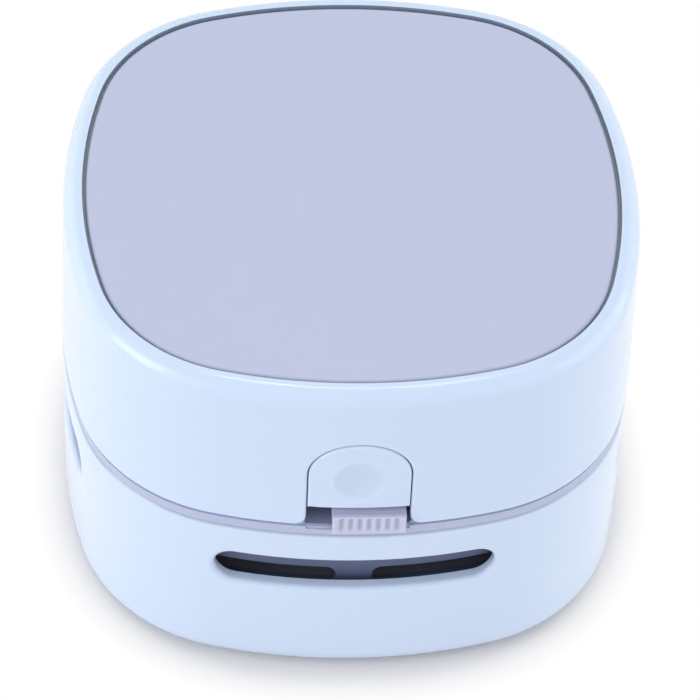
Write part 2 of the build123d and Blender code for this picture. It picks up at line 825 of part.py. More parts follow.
with BuildPart() as motor_shaft:
    with Locations((0, 0, impeller_bottom + 0.4)):
        Cylinder(
            shaft_radius,
            end_cap_top + end_cap_boss - impeller_bottom,
            align=upwards,
        )
    chamfer(motor_shaft.edges().filter_by(GeomType.CIRCLE), length=0.2)
finish(motor_shaft, "motor_shaft")

# ---------------------------------------------------------------- motor
with BuildPart() as motor_can:
    with BuildSketch(Plane.XY.offset(motor_bottom)):
        Circle(motor_radius)
    extrude(amount=motor_length)
    fillet(motor_can.edges().group_by(Axis.Z)[0], radius=1.2)
    with BuildSketch(Plane.XY.offset(deck_height + 0.3)):
        Circle(motor_boss_radius)
    extrude(amount=motor_bottom - deck_height - 0.3)
    with BuildSketch(Plane.XY.offset(deck_height)):
        Circle(shaft_radius + pin_gap)
    extrude(amount=motor_top - deck_height, mode=Mode.SUBTRACT)
    with BuildSketch(Plane.XY.offset(motor_bottom)):
        with GridLocations(2 * motor_screw_place, 0, 2, 1):
            Circle(motor_screw_radius + pin_gap)
    extrude(amount=motor_screw_bite + running_gap, mode=Mode.SUBTRACT)
finish(motor_can, "motor_can")

with BuildPart() as motor_end_cap:
    with BuildSketch(Plane.XY.offset(motor_top)):
        Circle(motor_radius - 0.3)
    extrude(amount=end_cap_thickness)
    fillet(motor_end_cap.edges().group_by(Axis.Z)[-1], radius=0.5)
    with BuildSketch(Plane.XY.offset(end_cap_top)):
        Circle(motor_boss_radius)
    extrude(amount=end_cap_boss)
    with BuildSketch(Plane.XY.offset(motor_top)):
        Circle(shaft_radius + pin_gap)
    extrude(amount=end_cap_thickness + end_cap_boss, mode=Mode.SUBTRACT)
finish(motor_end_cap, "motor_end_cap")

with BuildPart() as motor_terminals:
    with BuildSketch(Plane.XY.offset(end_cap_top)):
        with GridLocations(2 * terminal_place, 0, 2, 1):
            Rectangle(terminal_thickness, terminal_width)
    extrude(amount=terminal_height)
    with Locations(Location((0, 0, end_cap_top + terminal_height - terminal_hole_drop), (0, 90, 0))):
        Cylinder(terminal_thickness, 3 * terminal_place, mode=Mode.SUBTRACT)
finish(motor_terminals, "motor_terminals")

with BuildPart() as motor_damper:
    with BuildSketch(Plane.XY.offset(deck_top)):
        Circle(motor_radius - 0.5)
        Circle(motor_boss_radius + running_gap, mode=Mode.SUBTRACT)
        with GridLocations(2 * motor_screw_place, 0, 2, 1):
            Circle(motor_screw_radius + pin_gap, mode=Mode.SUBTRACT)
    extrude(amount=damper_thickness)
finish(motor_damper, "motor_damper")

with BuildPart() as motor_screws:
    with BuildSketch(Plane.XY.offset(deck_height)):
        with GridLocations(2 * motor_screw_place, 0, 2, 1):
            Circle(motor_screw_radius)
    extrude(amount=deck_thickness + damper_thickness + motor_screw_bite)
    with BuildSketch(Plane.XY.offset(deck_height - motor_screw_head)):
        with GridLocations(2 * motor_screw_place, 0, 2, 1):
            Circle(motor_screw_radius + 1)
    extrude(amount=motor_screw_head)
    with BuildSketch(Plane.XY.offset(deck_height - motor_screw_head)):
        with GridLocations(2 * motor_screw_place, 0, 2, 1):
            Rectangle(2.2, 0.5)
            Rectangle(0.5, 2.2)
    extrude(amount=0.5, mode=Mode.SUBTRACT)
finish(motor_screws, "motor_screws")

# ---------------------------------------------------------------- cell, on its cradle behind the motor
with BuildPart() as battery_cell:
    with Locations(Location((0, cell_centre_y, cell_axis_z), (0, 90, 0))):
        Cylinder(cell_radius, cell_length)
    fillet(battery_cell.edges().filter_by(GeomType.CIRCLE), radius=0.6)
finish(battery_cell, "battery_cell")

with BuildPart() as cell_cradle:
    with BuildSketch(Plane.XY.offset(deck_top)):
        with Locations((0, cell_centre_y)):
            Rectangle(cell_length - 1, 2 * cell_radius)
        with Locations((0, cell_centre_y - contact_side)):
            Rectangle(cell_length + 4 * contact_thickness + 2 * cradle_wall, contact_width)
        body_plan(skirt_inner_inset + soft_gap, Mode.INTERSECT)
    extrude(amount=cradle_base)
    # saddles under the cell
    with BuildSketch(Plane.XY.offset(deck_top + cradle_base)):
        with Locations((0, cell_centre_y)):
            with GridLocations(2 * saddle_place, 0, 2, 1):
                Rectangle(2.4, 2 * cell_radius - 2)
    extrude(amount=cell_radius * 0.6)
    # end walls that carry the contacts
    with BuildSketch(Plane.XY.offset(deck_top + cradle_base)):
        with Locations((0, cell_centre_y - contact_side)):
            with GridLocations(cell_length + 4 * contact_thickness + cradle_wall, 0, 2, 1):
                Rectangle(cradle_wall, contact_width)
    extrude(amount=1.6 * cell_radius)
    with Locations(Location((0, cell_centre_y, cell_axis_z), (0, 90, 0))):
        Cylinder(cell_radius + pin_gap, cell_length, mode=Mode.SUBTRACT)
finish(cell_cradle, "cell_cradle")

with BuildPart() as cell_contacts:
    with BuildSketch(Plane.XY.offset(deck_top + cradle_base)):
        with Locations((0, cell_centre_y - contact_side)):
            with GridLocations(cell_length + 3 * contact_thickness, 0, 2, 1):
                Rectangle(contact_thickness, contact_width - 1)
    extrude(amount=1.5 * cell_radius)
    # buttons pressed out of the plates, which touch the cell's ends
    for sign in (-1, 1):
        button_x = sign * (cell_length + contact_thickness) / 2
        with Locations(Location((button_x, cell_centre_y, cell_axis_z), (0, 90, 0))):
            Cylinder(2.2, contact_thickness)
finish(cell_contacts, "cell_contacts")

with BuildPart() as cell_straps:
    for sign in (-1, 1):
        strap_half = cell_radius + pin_gap + strap_thickness / 2
        with BuildSketch(Plane.YZ.offset(sign * strap_place - strap_width / 2)):
            with BuildLine():
                Line((cell_centre_y + strap_half, deck_top), (cell_centre_y + strap_half, cell_axis_z))
                CenterArc((cell_centre_y, cell_axis_z), strap_half, 0, 180)
                Line((cell_centre_y - strap_half, cell_axis_z), (cell_centre_y - strap_half, deck_top))
            trace(line_width=strap_thickness)
        extrude(amount=strap_width)
finish(cell_straps, "cell_straps")

# ---------------------------------------------------------------- upper shell
with BuildPart() as upper_shell:
    with BuildSketch(Plane.XY.offset(collar_top)):
        body_plan()
    extrude(amount=body_height - collar_top, taper=wall_draft)
    fillet(upper_shell.edges().group_by(Axis.Z)[-1], radius=rim_fillet)
    # opening for the button, open below for the slider, where its corners flare
    with BuildSketch(wall_plane(0, half_width - shell_wall - 3)):
        arch(
            2 * notch_half,
            collar_top,
            button_arch_base,
            button_arch_height + button_gap,
        )
        for sign in (-1, 1):
            with Locations((sign * (notch_half + notch_flare / 2), collar_top + notch_flare / 2)):
                Rectangle(notch_flare, notch_flare)
            with Locations((sign * (notch_half + notch_flare), collar_top + notch_flare)):
                Circle(notch_flare, mode=Mode.SUBTRACT)
    extrude(amount=shell_wall + 4, mode=Mode.SUBTRACT)
    # one rounding runs along the shell's foot and round the opening
    outline_edges = [
        edge
        for edge in upper_shell.edges()
        if (edge @ 0.5).Z < collar_top + 0.01
        and edge.geom_type == GeomType.CIRCLE
        or abs((edge @ 0.5).X) < notch_half + notch_flare
        and front_inset(edge @ 0.5) < shell_wall / 2
        and (edge @ 0.5).Z < button_arch_base + button_arch_height + 1
    ]
    fillet(outline_edges, radius=opening_fillet)
    with BuildSketch(Plane.XY.offset(collar_top)):
        body_plan(shell_wall)
    extrude(amount=panel_ledge_bottom - collar_top, mode=Mode.SUBTRACT)
    with BuildSketch(Plane.XY.offset(panel_ledge_bottom)):
        body_plan(panel_ledge_inset)
    extrude(amount=body_height - panel_ledge_bottom, mode=Mode.SUBTRACT)
    with BuildSketch(Plane.XY.offset(panel_bottom)):
        body_plan(panel_step_inset)
    extrude(amount=body_height - panel_bottom, mode=Mode.SUBTRACT)
    with BuildSketch(Plane.XY.offset(panel_groove_floor)):
        body_plan(panel_opening_inset)
    extrude(amount=panel_groove_depth, mode=Mode.SUBTRACT)
    # bosses for the long screws, each on a rib from its corner
    with BuildSketch(Plane.XY.offset(post_top)):
        with Locations(*at_corners(post_place)):
            Circle(boss_radius)
    extrude(amount=panel_bottom - post_top)
    rib_bottom = collar_top + spigot_height + soft_gap
    with BuildSketch(Plane.XY.offset(rib_bottom)):
        for sx, sy in corner_points:
            rib_middle = post_place + rib_length / 3
            with Locations(Location((sx * rib_middle, sy * rib_middle), 45 * sx * sy)):
                Rectangle(rib_length, rib_thickness)
        body_plan(shell_wall - running_gap, Mode.INTERSECT)
    extrude(amount=panel_bottom - rib_bottom)
    with BuildSketch(Plane.XY.offset(post_top)):
        with Locations(*at_corners(post_place)):
            Circle(housing_screw_radius + pin_gap)
    extrude(amount=housing_screw_length - (post_top - skirt_bottom) + running_gap, mode=Mode.SUBTRACT)
    # room behind the wall for the button's flange
    relief_half = button_width / 2 + button_flange + soft_gap
    with BuildSketch(Plane.XY.offset(collar_top)):
        front_strip(shell_wall, button_plug_depth + soft_gap, -relief_half, relief_half)
    relief_top = button_arch_base + button_arch_height + button_flange + soft_gap
    extrude(amount=relief_top - collar_top, mode=Mode.SUBTRACT)
    # openings for the charging socket and its light
    with BuildSketch(wall_plane(180, half_width - shell_wall - 1)):
        with Locations((0, usb_axis_z)):
            SlotOverall(usb_width + 2 * usb_opening_gap, usb_height + 2 * usb_opening_gap)
        with Locations((-light_place, usb_axis_z)):
            Circle(light_radius + running_gap)
    extrude(amount=shell_wall + 2, mode=Mode.SUBTRACT)
finish(upper_shell, "upper_shell")

# ---------------------------------------------------------------- top panel
with BuildPart() as top_panel:
    with BuildSketch(Plane.XY.offset(panel_bottom)):
        body_plan(panel_step_inset + seat_gap)
    extrude(amount=panel_thickness)
    # rim that overhangs the step in the shell
    with BuildSketch(Plane.XY.offset(panel_groove_floor + pin_gap)):
        body_plan(panel_inset)
    extrude(amount=panel_top - panel_groove_floor - pin_gap)
    fillet(top_panel.edges().group_by(Axis.Z)[-1], radius=panel_fillet)
    # a hook inside each side of the ledge
    for side in range(4):
        hook_face = half_width - panel_ledge_inset - seat_gap
        with BuildSketch(wall_plane(90 * side, hook_face - hook_thickness)):
            with Locations((0, panel_bottom - hook_drop / 2)):
                Rectangle(hook_width, hook_drop)
        extrude(amount=hook_thickness - half_sagitta(hook_width))
        with BuildSketch(wall_plane(90 * side, hook_face - hook_thickness)):
            with Locations((0, panel_bottom - hook_drop + hook_nose / 2)):
                Rectangle(hook_width, hook_nose)
        extrude(amount=hook_thickness + 0.5)
finish(top_panel, "top_panel")

# ================================================================ push button

# ---------------------------------------------------------------- plug in the front wall, and its flange
with BuildPart() as button_plug:
    with BuildSketch(Plane.XY.offset(button_bottom)):
        front_strip(0, button_plug_depth, -button_width / 2, button_width / 2)
    extrude(amount=button_arch_base + button_arch_height - button_bottom)
    with BuildSketch(wall_plane()):
        arch(button_width, button_bottom, button_arch_base, button_arch_height)
    extrude(amount=half_width + 1, mode=Mode.INTERSECT)
    # its face leans in with the shell's wall
    with BuildSketch(Plane.XY.offset(collar_top)):
        body_plan()
    extrude(amount=body_height - collar_top, taper=wall_draft, mode=Mode.INTERSECT)
    face_edges = button_plug.edges().filter_by(lambda edge: front_inset(edge @ 0.5) < button_wall)
    fillet(face_edges, radius=button_edge_fillet)

with BuildPart() as button_flange_plate:
    flange_width_all = button_width + 2 * button_flange
    with BuildSketch(Plane.XY.offset(shoulder_bottom)):
        front_strip(shell_wall + running_gap, button_plug_depth, -flange_width_all / 2, flange_width_all / 2)
    extrude(amount=button_arch_base + button_arch_height + button_flange - shoulder_bottom)
    with BuildSketch(wall_plane()):
        arch(flange_width_all, shoulder_bottom, button_arch_base, button_arch_height + button_flange)
    extrude(amount=half_width + 1, mode=Mode.INTERSECT)

with BuildPart() as push_button:
    add(button_plug.part)
    add(button_flange_plate.part)
    # hollow back
    with BuildSketch(wall_plane(0, half_width - button_pocket_back)):
        arch(
            button_width - 2 * button_wall,
            button_bottom + button_wall,
            button_arch_base,
            button_arch_height - button_wall,
        )
    extrude(amount=button_pocket_back - button_wall, mode=Mode.SUBTRACT)
    # sleeves for the guide pins, and the peg that centres the spring
    with BuildSketch(wall_plane(0, -guide_front_y + button_travel + soft_gap)):
        with Locations((-guide_pin_place, guide_pin_height), (guide_pin_place, guide_pin_height)):
            Circle(guide_pin_radius + 0.8)
    extrude(amount=half_width - button_wall + guide_front_y - button_travel)
    with BuildSketch(wall_plane(0, half_width - button_wall - peg_length)):
        with Locations((0, spring_height)):
            Circle(peg_radius)
    extrude(amount=peg_length + 0.2)
    with BuildSketch(wall_plane(0, -guide_front_y)):
        with Locations((-guide_pin_place, guide_pin_height), (guide_pin_place, guide_pin_height)):
            Circle(guide_pin_radius + pin_gap)
    extrude(amount=guide_pin_length + button_travel + 2 * running_gap, mode=Mode.SUBTRACT)
    # shallow round dimple for the finger
    dimple_sphere = (dimple_radius**2 + dimple_depth**2) / (2 * dimple_depth)
    dimple_floor_y = -half_width + wall_lean(dimple_height) + dimple_depth
    with Locations((0, dimple_floor_y - dimple_sphere, dimple_height)):
        Sphere(dimple_sphere, mode=Mode.SUBTRACT)
finish(push_button, "push_button")

# ---------------------------------------------------------------- latch arms, welded behind the flange
with BuildPart() as latch_arms:
    for sign in (-1, 1):
        arm_near = sign * (latch_arm_place - latch_arm_width / 2)
        arm_far = sign * (latch_arm_place + latch_arm_width / 2)
        with BuildSketch(Plane.XY.offset(shoulder_bottom)):
            front_strip(
                button_plug_depth,
                button_plug_depth + latch_arm_thickness,
                sign * (button_width / 2 - shoulder_overlap),
                arm_far,
            )
        extrude(amount=shoulder_height)
        # the arm, which reaches down behind the slider into the dust box, and its nose
        with BuildSketch(Plane.XY.offset(latch_nose_bottom)):
            front_strip(button_plug_depth, button_plug_depth + latch_arm_thickness, arm_near, arm_far)
        extrude(amount=shoulder_bottom + 1 - latch_nose_bottom)
        with BuildSketch(Plane.XY.offset(latch_nose_bottom)):
            front_strip(shell_wall + catch_reach + running_gap, button_plug_depth + 0.2, arm_near, arm_far)
        extrude(amount=latch_nose_height)
finish(latch_arms, "latch_arms")

# ---------------------------------------------------------------- guide behind the button
with BuildPart() as latch_guide:
    with BuildSketch(wall_plane(0, -rail_front_y)):
        with Locations((0, guide_bottom + guide_height / 2)):
            RectangleRounded(2 * rail_centre_x + rail_width, guide_height, 1.2)
            with GridLocations(2 * rail_centre_x, 0, 2, 1):
                Circle(guide_screw_radius + pin_gap, mode=Mode.SUBTRACT)
    extrude(amount=guide_thickness)
    with BuildSketch(wall_plane(0, -guide_front_y)):
        with Locations((-guide_pin_place, guide_pin_height), (guide_pin_place, guide_pin_height)):
            Circle(guide_pin_radius)
    extrude(amount=guide_pin_length)
    with BuildSketch(wall_plane(0, -guide_front_y)):
        with Locations((0, spring_height)):
            Circle(peg_radius)
    extrude(amount=peg_length)
finish(latch_guide, "latch_guide")

with BuildPart() as guide_screws:
    with BuildSketch(wall_plane(0, -guide_front_y)):
        with Locations((0, guide_bottom + guide_height / 2)):
            with GridLocations(2 * rail_centre_x, 0, 2, 1):
                Circle(guide_screw_radius)
    extrude(amount=-guide_screw_length)
    with BuildSketch(wall_plane(0, -guide_front_y)):
        with Locations((0, guide_bottom + guide_height / 2)):
            with GridLocations(2 * rail_centre_x, 0, 2, 1):
                Circle(guide_screw_radius * 2)
    extrude(amount=guide_screw_radius)
finish(guide_screws, "guide_screws")

# ---------------------------------------------------------------- return spring between button and guide
spring_front_y = -half_width + button_wall + spring_wire / 2 + pin_gap
spring_length = guide_front_y - pin_gap - spring_wire / 2 - spring_front_y
with BuildPart() as button_spring:
    with BuildLine():
        coil = Helix(
            spring_length / spring_turns,
            spring_length,
            spring_radius,
            center=(0, spring_front_y, spring_height),
            direction=(0, 1, 0),
        )
    with BuildSketch(Plane(origin=coil @ 0, z_dir=coil % 0)):
        Circle(spring_wire / 2)
    sweep(path=coil, is_frenet=True)
finish(button_spring, "button_spring")

# ================================================================ power slider

# ---------------------------------------------------------------- knob
with BuildPart() as slider_knob:
    with BuildSketch(Plane.XY.offset(knob_bottom)):
        with Locations((knob_rest_x, (knob_front_y + knob_back_y) / 2)):
            Rectangle(knob_width, knob_face)
    extrude(amount=knob_height)
    with BuildSketch(Plane.XY.offset(collar_top + running_gap)):
        with Locations((knob_rest_x, (knob_back_y - 0.2 + knob_body_y) / 2)):
            Rectangle(knob_width, knob_body_y - knob_back_y + 0.2)
        with Locations((knob_rest_x, (knob_body_y + stem_end_y) / 2)):
            Rectangle(stem_width, stem_end_y - knob_body_y)
        # fork that takes the switch's lever
        with Locations((knob_rest_x, stem_end_y)):
            Rectangle(lever_width + 2 * pin_gap, 2 * fork_depth, mode=Mode.SUBTRACT)
    extrude(amount=knob_top - collar_top - running_gap)
    front_face = slider_knob.faces().filter_by(Axis.Y).sort_by(Axis.Y)[0]
    fillet(front_face.edges(), radius=knob_fillet)
    # upright grooves for the finger
    with BuildSketch(wall_plane(0, -knob_front_y - knob_groove_depth)):
        with Locations((knob_rest_x, knob_bottom + knob_height / 2)):
            with GridLocations(knob_groove_pitch, 0, knob_grooves, 1):
                SlotOverall(knob_height - 2 * knob_groove_margin, knob_groove_width, rotation=90)
    extrude(amount=2 * knob_groove_depth, mode=Mode.SUBTRACT)
finish(slider_knob, "slider_knob")

# ---------------------------------------------------------------- track in the collar that the knob slides on
with BuildPart() as slider_track:
    with BuildSketch(Plane.XY.offset(band_top)):
        front_strip(half_width + knob_back_y + seat_gap, knob_depth + track_reach, -notch_half, notch_half)
    extrude(amount=shadow_groove_height)
finish(slider_track, "slider_track")

# ---------------------------------------------------------------- switch on the board, lever in the knob
with BuildPart() as slide_switch:
    with BuildSketch(wall_plane(0, -board_front_y)):
        with Locations((0, switch_bottom + switch_height / 2)):
            RectangleRounded(switch_width, switch_height, 0.4)
    extrude(amount=switch_depth)
    with BuildSketch(wall_plane(0, -board_front_y + 1)):
        with Locations((knob_rest_x - slider_travel / 2, lever_bottom + lever_height / 2)):
            Rectangle(slider_travel + lever_width + 2 * running_gap, lever_height + 2 * running_gap)
    extrude(amount=switch_depth, mode=Mode.SUBTRACT)
finish(slide_switch, "slide_switch")

with BuildPart() as switch_lever:
    with BuildSketch(wall_plane(0, -board_front_y + 1 + running_gap)):
        with Locations((knob_rest_x, lever_bottom + lever_height / 2)):
            Rectangle(lever_width, lever_height)
    extrude(amount=board_front_y - 1 - running_gap - stem_end_y + fork_depth - running_gap)
    chamfer(switch_lever.faces().sort_by(Axis.Y)[0].edges(), length=0.3)
finish(switch_lever, "switch_lever")

# ================================================================ electronics

# ---------------------------------------------------------------- control board
with BuildPart() as control_board:
    with BuildSketch(wall_plane(0, -board_front_y)):
        with Locations((0, groove_bottom + board_height / 2)):
            Rectangle(board_width, board_height)
    extrude(amount=-board_thickness)
finish(control_board, "control_board")

with BuildPart() as board_chips:
    with BuildSketch(wall_plane(180, board_front_y + board_thickness)):
        with Locations((-driver_place, groove_bottom + chip_height)):
            Rectangle(driver_width, driver_depth)
        with Locations((regulator_place, groove_bottom + regulator_height)):
            Rectangle(regulator_width, regulator_width)
    extrude(amount=driver_thickness)
    with BuildSketch(wall_plane(180, board_front_y + board_thickness)):
        with Locations((0, groove_bottom + chip_height)):
            RectangleRounded(coil_width, coil_width, coil_corner)
    extrude(amount=coil_thickness)
finish(board_chips, "board_chips")

# ---------------------------------------------------------------- charging board, socket and light
with BuildPart() as charge_board:
    with BuildSketch(Plane.XY.offset(charge_board_bottom)):
        with Locations((0, charge_board_y)):
            Rectangle(charge_board_width, charge_board_depth)
    extrude(amount=charge_board_thickness)
finish(charge_board, "charge_board")

with BuildPart() as usb_socket:
    with BuildSketch(wall_plane(180, usb_mouth_y - usb_length)):
        with Locations((0, usb_axis_z)):
            SlotOverall(usb_width, usb_height)
    extrude(amount=usb_length)
    with BuildSketch(wall_plane(180, usb_mouth_y - usb_length + 1)):
        with Locations((0, usb_axis_z)):
            SlotOverall(usb_width - 2 * usb_wall, usb_height - 2 * usb_wall)
            Rectangle(usb_width - 2.2, usb_tongue, mode=Mode.SUBTRACT)
    extrude(amount=usb_length, mode=Mode.SUBTRACT)
    with BuildSketch(wall_plane(180, usb_mouth_y - 1)):
        with Locations((0, usb_axis_z)):
            SlotOverall(usb_width - 2 * usb_wall, usb_height - 2 * usb_wall)
    extrude(amount=2, mode=Mode.SUBTRACT)
finish(usb_socket, "usb_socket")

with BuildPart() as charge_light:
    with BuildSketch(wall_plane(180, charge_board_y - 1)):
        with Locations((-light_place, usb_axis_z)):
            Circle(light_radius)
    extrude(amount=half_width - 0.6 - charge_board_y + 1)
    with BuildSketch(Plane.XY.offset(charge_board_bottom + charge_board_thickness)):
        with Locations((light_place, charge_board_y)):
            Rectangle(1.8, 2)
    extrude(amount=usb_height / 2)
finish(charge_light, "charge_light")
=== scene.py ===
"""The looks of a desktop mini vacuum cleaner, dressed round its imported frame.

Everything is in metres, with +Z up and the front towards -Y. The sizes in the classes are
the part's own, given in millimetres and turned into metres by MM.
"""

import logging
import math
import random
from dataclasses import dataclass
from enum import Enum
from typing import Any, Mapping, Sequence

import bmesh
import bpy
from mathutils import Matrix, Vector


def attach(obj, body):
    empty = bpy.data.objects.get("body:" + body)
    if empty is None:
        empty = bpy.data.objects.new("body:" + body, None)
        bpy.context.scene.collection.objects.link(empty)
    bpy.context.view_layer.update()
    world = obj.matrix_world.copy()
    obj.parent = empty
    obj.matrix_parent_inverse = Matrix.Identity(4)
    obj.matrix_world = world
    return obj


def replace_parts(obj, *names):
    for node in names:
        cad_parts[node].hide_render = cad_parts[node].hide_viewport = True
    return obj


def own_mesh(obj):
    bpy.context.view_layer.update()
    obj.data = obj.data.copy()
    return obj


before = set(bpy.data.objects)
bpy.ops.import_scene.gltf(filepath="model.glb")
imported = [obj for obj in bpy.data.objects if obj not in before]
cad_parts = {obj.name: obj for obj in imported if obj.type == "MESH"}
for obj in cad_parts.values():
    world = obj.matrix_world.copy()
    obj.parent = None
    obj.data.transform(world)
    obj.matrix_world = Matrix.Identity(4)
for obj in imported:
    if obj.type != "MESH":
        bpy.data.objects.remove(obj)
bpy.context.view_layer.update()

MM = 0.001
LOG = logging.getLogger("desk_vacuum")

Triple = tuple[float, float, float]
Colour = Triple
Pair = tuple[float, float]

COAT_ROUGHNESS = 0.08
GLOW_DEPTH = 0.8  # how far light spreads under the skin of a moulding, in millimetres
SHARP_FROM = 32.0  # the angle between faces, in degrees, from which their edge shows sharp
GOLDEN_TURN = 2.399963  # the turn between hairs that spreads them evenly over a tuft


def linear(red: int, green: int, blue: int) -> Colour:
    """Turns a colour as screens show it, 0 to 255, into the linear values that shaders use.

    Args:
        red: Its red.
        green: Its green.
        blue: Its blue.

    Returns:
        The linear colour.
    """

    def channel(value: int) -> float:
        """Turns one channel into a linear value."""
        part = value / 255
        return part / 12.92 if part <= 0.04045 else ((part + 0.055) / 1.055) ** 2.4

    return channel(red), channel(green), channel(blue)


# ---------------------------------------------------------------- shader trees


class Signal:
    """A shader socket that takes part in Python expressions, adding its Math nodes."""

    def __init__(self, shader: "Shader", socket: bpy.types.NodeSocket) -> None:
        """Wraps an output socket of the shader's tree."""
        self.shader = shader
        self.socket = socket

    def _math(self, operation: str, first: "Signal | float", second: "Signal | float") -> "Signal":
        """Adds one Math node and returns its result."""
        return self.shader.node("ShaderNodeMath", {"operation": operation}, {0: first, 1: second})

    def __add__(self, other: "Signal | float") -> "Signal":
        """self + other."""
        return self._math("ADD", self, other)

    def __radd__(self, other: float) -> "Signal":
        """other + self."""
        return self._math("ADD", other, self)

    def __sub__(self, other: "Signal | float") -> "Signal":
        """self - other."""
        return self._math("SUBTRACT", self, other)

    def __rsub__(self, other: float) -> "Signal":
        """other - self."""
        return self._math("SUBTRACT", other, self)

    def __mul__(self, other: "Signal | float") -> "Signal":
        """self * other."""
        return self._math("MULTIPLY", self, other)

    def __rmul__(self, other: float) -> "Signal":
        """other * self."""
        return self._math("MULTIPLY", other, self)

    def __pow__(self, power: float) -> "Signal":
        """self to that power."""
        return self._math("POWER", self, power)

    def __abs__(self) -> "Signal":
        """self without its sign."""
        return self.shader.node("ShaderNodeMath", {"operation": "ABSOLUTE"}, {0: self})

    def __lt__(self, other: "Signal | float") -> "Signal":
        """1 where self is below other, else 0."""
        return self._math("LESS_THAN", self, other)

    def __gt__(self, other: "Signal | float") -> "Signal":
        """1 where self is above other, else 0."""
        return self._math("GREATER_THAN", self, other)


class Shader:
    """The node tree of one material, or of the world."""

    def __init__(self, name: str, world: bool = False) -> None:
        """Makes an empty material, or world, of that name.

        Args:
            name: The material's or world's name.
            world: Whether it is a world.
        """
        self.world = world
        self.owner = (bpy.data.worlds if world else bpy.data.materials).new(name)
        self.owner.use_nodes = True
        self.tree = self.owner.node_tree
        self.tree.nodes.clear()

    def node(
        self,
        kind: str,
        settings: Mapping[str, Any] | None = None,
        inputs: Mapping[int | str, Any] | None = None,
        output: int | str = 0,
    ) -> Signal:
        """Adds any node.

        Args:
            kind: The node's type.
            settings: Its settings, which are set first. "stops" gives a ramp's (place, grey) pairs.
            inputs: Values or signals for its sockets, by name or number.
            output: The output to return.

        Returns:
            The chosen output.
        """
        made = self.tree.nodes.new(kind)
        for key, value in (settings or {}).items():
            if key == "stops":
                self._set_stops(made.color_ramp, value)
            else:
                setattr(made, key, value)
        for key, value in (inputs or {}).items():
            if isinstance(value, Signal):
                self.tree.links.new(value.socket, made.inputs[key])
            else:
                made.inputs[key].default_value = value
        return Signal(self, made.outputs[output] if made.outputs else None)

    @staticmethod
    def _set_stops(ramp: bpy.types.ColorRamp, stops: Sequence[Pair]) -> None:
        """Sets a ramp's stops to (place, grey) pairs.

        Args:
            ramp: The ramp.
            stops: The pairs, in the order that they are added.
        """
        for number, (place, grey) in enumerate(stops):
            stop = ramp.elements[number] if number < 2 else ramp.elements.new(place)
            stop.position = place
            stop.color = (grey, grey, grey, 1.0)

    def place(self, stretch: Triple = (1.0, 1.0, 1.0)) -> Signal:
        """The point on the piece, in millimetres, with each axis multiplied by stretch.

        Args:
            stretch: A factor for each axis.

        Returns:
            The point.
        """
        point = self.node("ShaderNodeTexCoord", output="Object")
        factors = tuple(factor / MM for factor in stretch)
        return self.node("ShaderNodeVectorMath", {"operation": "MULTIPLY"}, {0: point, 1: factors})

    def facing(self) -> Signal:
        """The direction that the surface faces, along the piece's own axes."""
        return self.node("ShaderNodeTexCoord", output="Normal")

    def axis(self, point: Signal, name: str) -> Signal:
        """One coordinate of a point."""
        return self.node("ShaderNodeSeparateXYZ", inputs={0: point}, output=name)

    def noise(self, size: float, detail: float = 3.0, stretch: Triple = (1.0, 1.0, 1.0)) -> Signal:
        """Soft noise from 0 to 1.

        Args:
            size: How large its features are, in millimetres.
            detail: How many finer layers it has.
            stretch: Factors on the axes; below 1 draws the features out along that axis.

        Returns:
            The noise's value.
        """
        inputs = {"Vector": self.place(stretch), "Scale": 1.0 / size, "Detail": detail}
        return self.node("ShaderNodeTexNoise", inputs=inputs)

    def cells(self, size: float, output: str = "Distance") -> Signal:
        """Cell pattern whose cells are about size millimetres across."""
        inputs = {"Vector": self.place(), "Scale": 1.0 / size}
        return self.node("ShaderNodeTexVoronoi", inputs=inputs, output=output)

    def ramp(self, factor: Signal, stops: Sequence[Pair]) -> Signal:
        """Reshapes a value through (place, grey) stops."""
        return self.node("ShaderNodeValToRGB", {"stops": stops}, {0: factor})

    def mix(
        self, factor: "Signal | float", first: "Signal | Colour", second: "Signal | Colour"
    ) -> Signal:
        """Mixes two colours.

        Args:
            factor: 0 for the first, 1 for the second.
            first: A colour.
            second: The other colour.

        Returns:
            The mixed colour.
        """
        first, second = (c if isinstance(c, Signal) else (*c, 1.0) for c in (first, second))
        colours = {0: factor, 6: first, 7: second}
        return self.node("ShaderNodeMix", {"data_type": "RGBA"}, colours, 2)

    def bump(self, height: Signal, depth: float) -> Signal:
        """A normal pressed by height, which is 0 to 1 over depth in millimetres."""
        return self.node("ShaderNodeBump", inputs={"Distance": depth * MM, "Height": height})

    def seen(self) -> Signal:
        """1 for rays that show a thing straight, mirrored or through glass, else 0.

        Returns:
            The mask.
        """
        kinds = ("Is Camera Ray", "Is Glossy Ray", "Is Transmission Ray")
        camera, glossy, through = (self.node("ShaderNodeLightPath", output=kind) for kind in kinds)
        return (camera + glossy + through) > 0.5

    def blend(self, factor: Signal, first: Signal, second: Signal) -> Signal:
        """Goes from the first shading to the second as factor goes from 0 to 1."""
        return self.node("ShaderNodeMixShader", inputs={0: factor, 1: first, 2: second})

    def surface(self, inputs: Mapping[str, Any]) -> bpy.types.Material:
        """Finishes the material with one principled surface."""
        return self.close(self.node("ShaderNodeBsdfPrincipled", inputs=inputs))

    def close(self, shading: Signal) -> bpy.types.Material | bpy.types.World:
        """Finishes the material or world with that shading.

        Args:
            shading: Its shading.

        Returns:
            The finished material or world.
        """
        kind = "ShaderNodeOutputWorld" if self.world else "ShaderNodeOutputMaterial"
        self.node(kind, inputs={"Surface": shading})
        return self.owner


# ---------------------------------------------------------------- finishes


class Gloss(Enum):
    """How a moulding's surface comes out of its tool: roughness, its spread, coat weight."""

    POLISHED = (0.20, 0.05, 0.35)
    SATIN = (0.40, 0.07, 0.0)
    MATTE = (0.58, 0.10, 0.0)


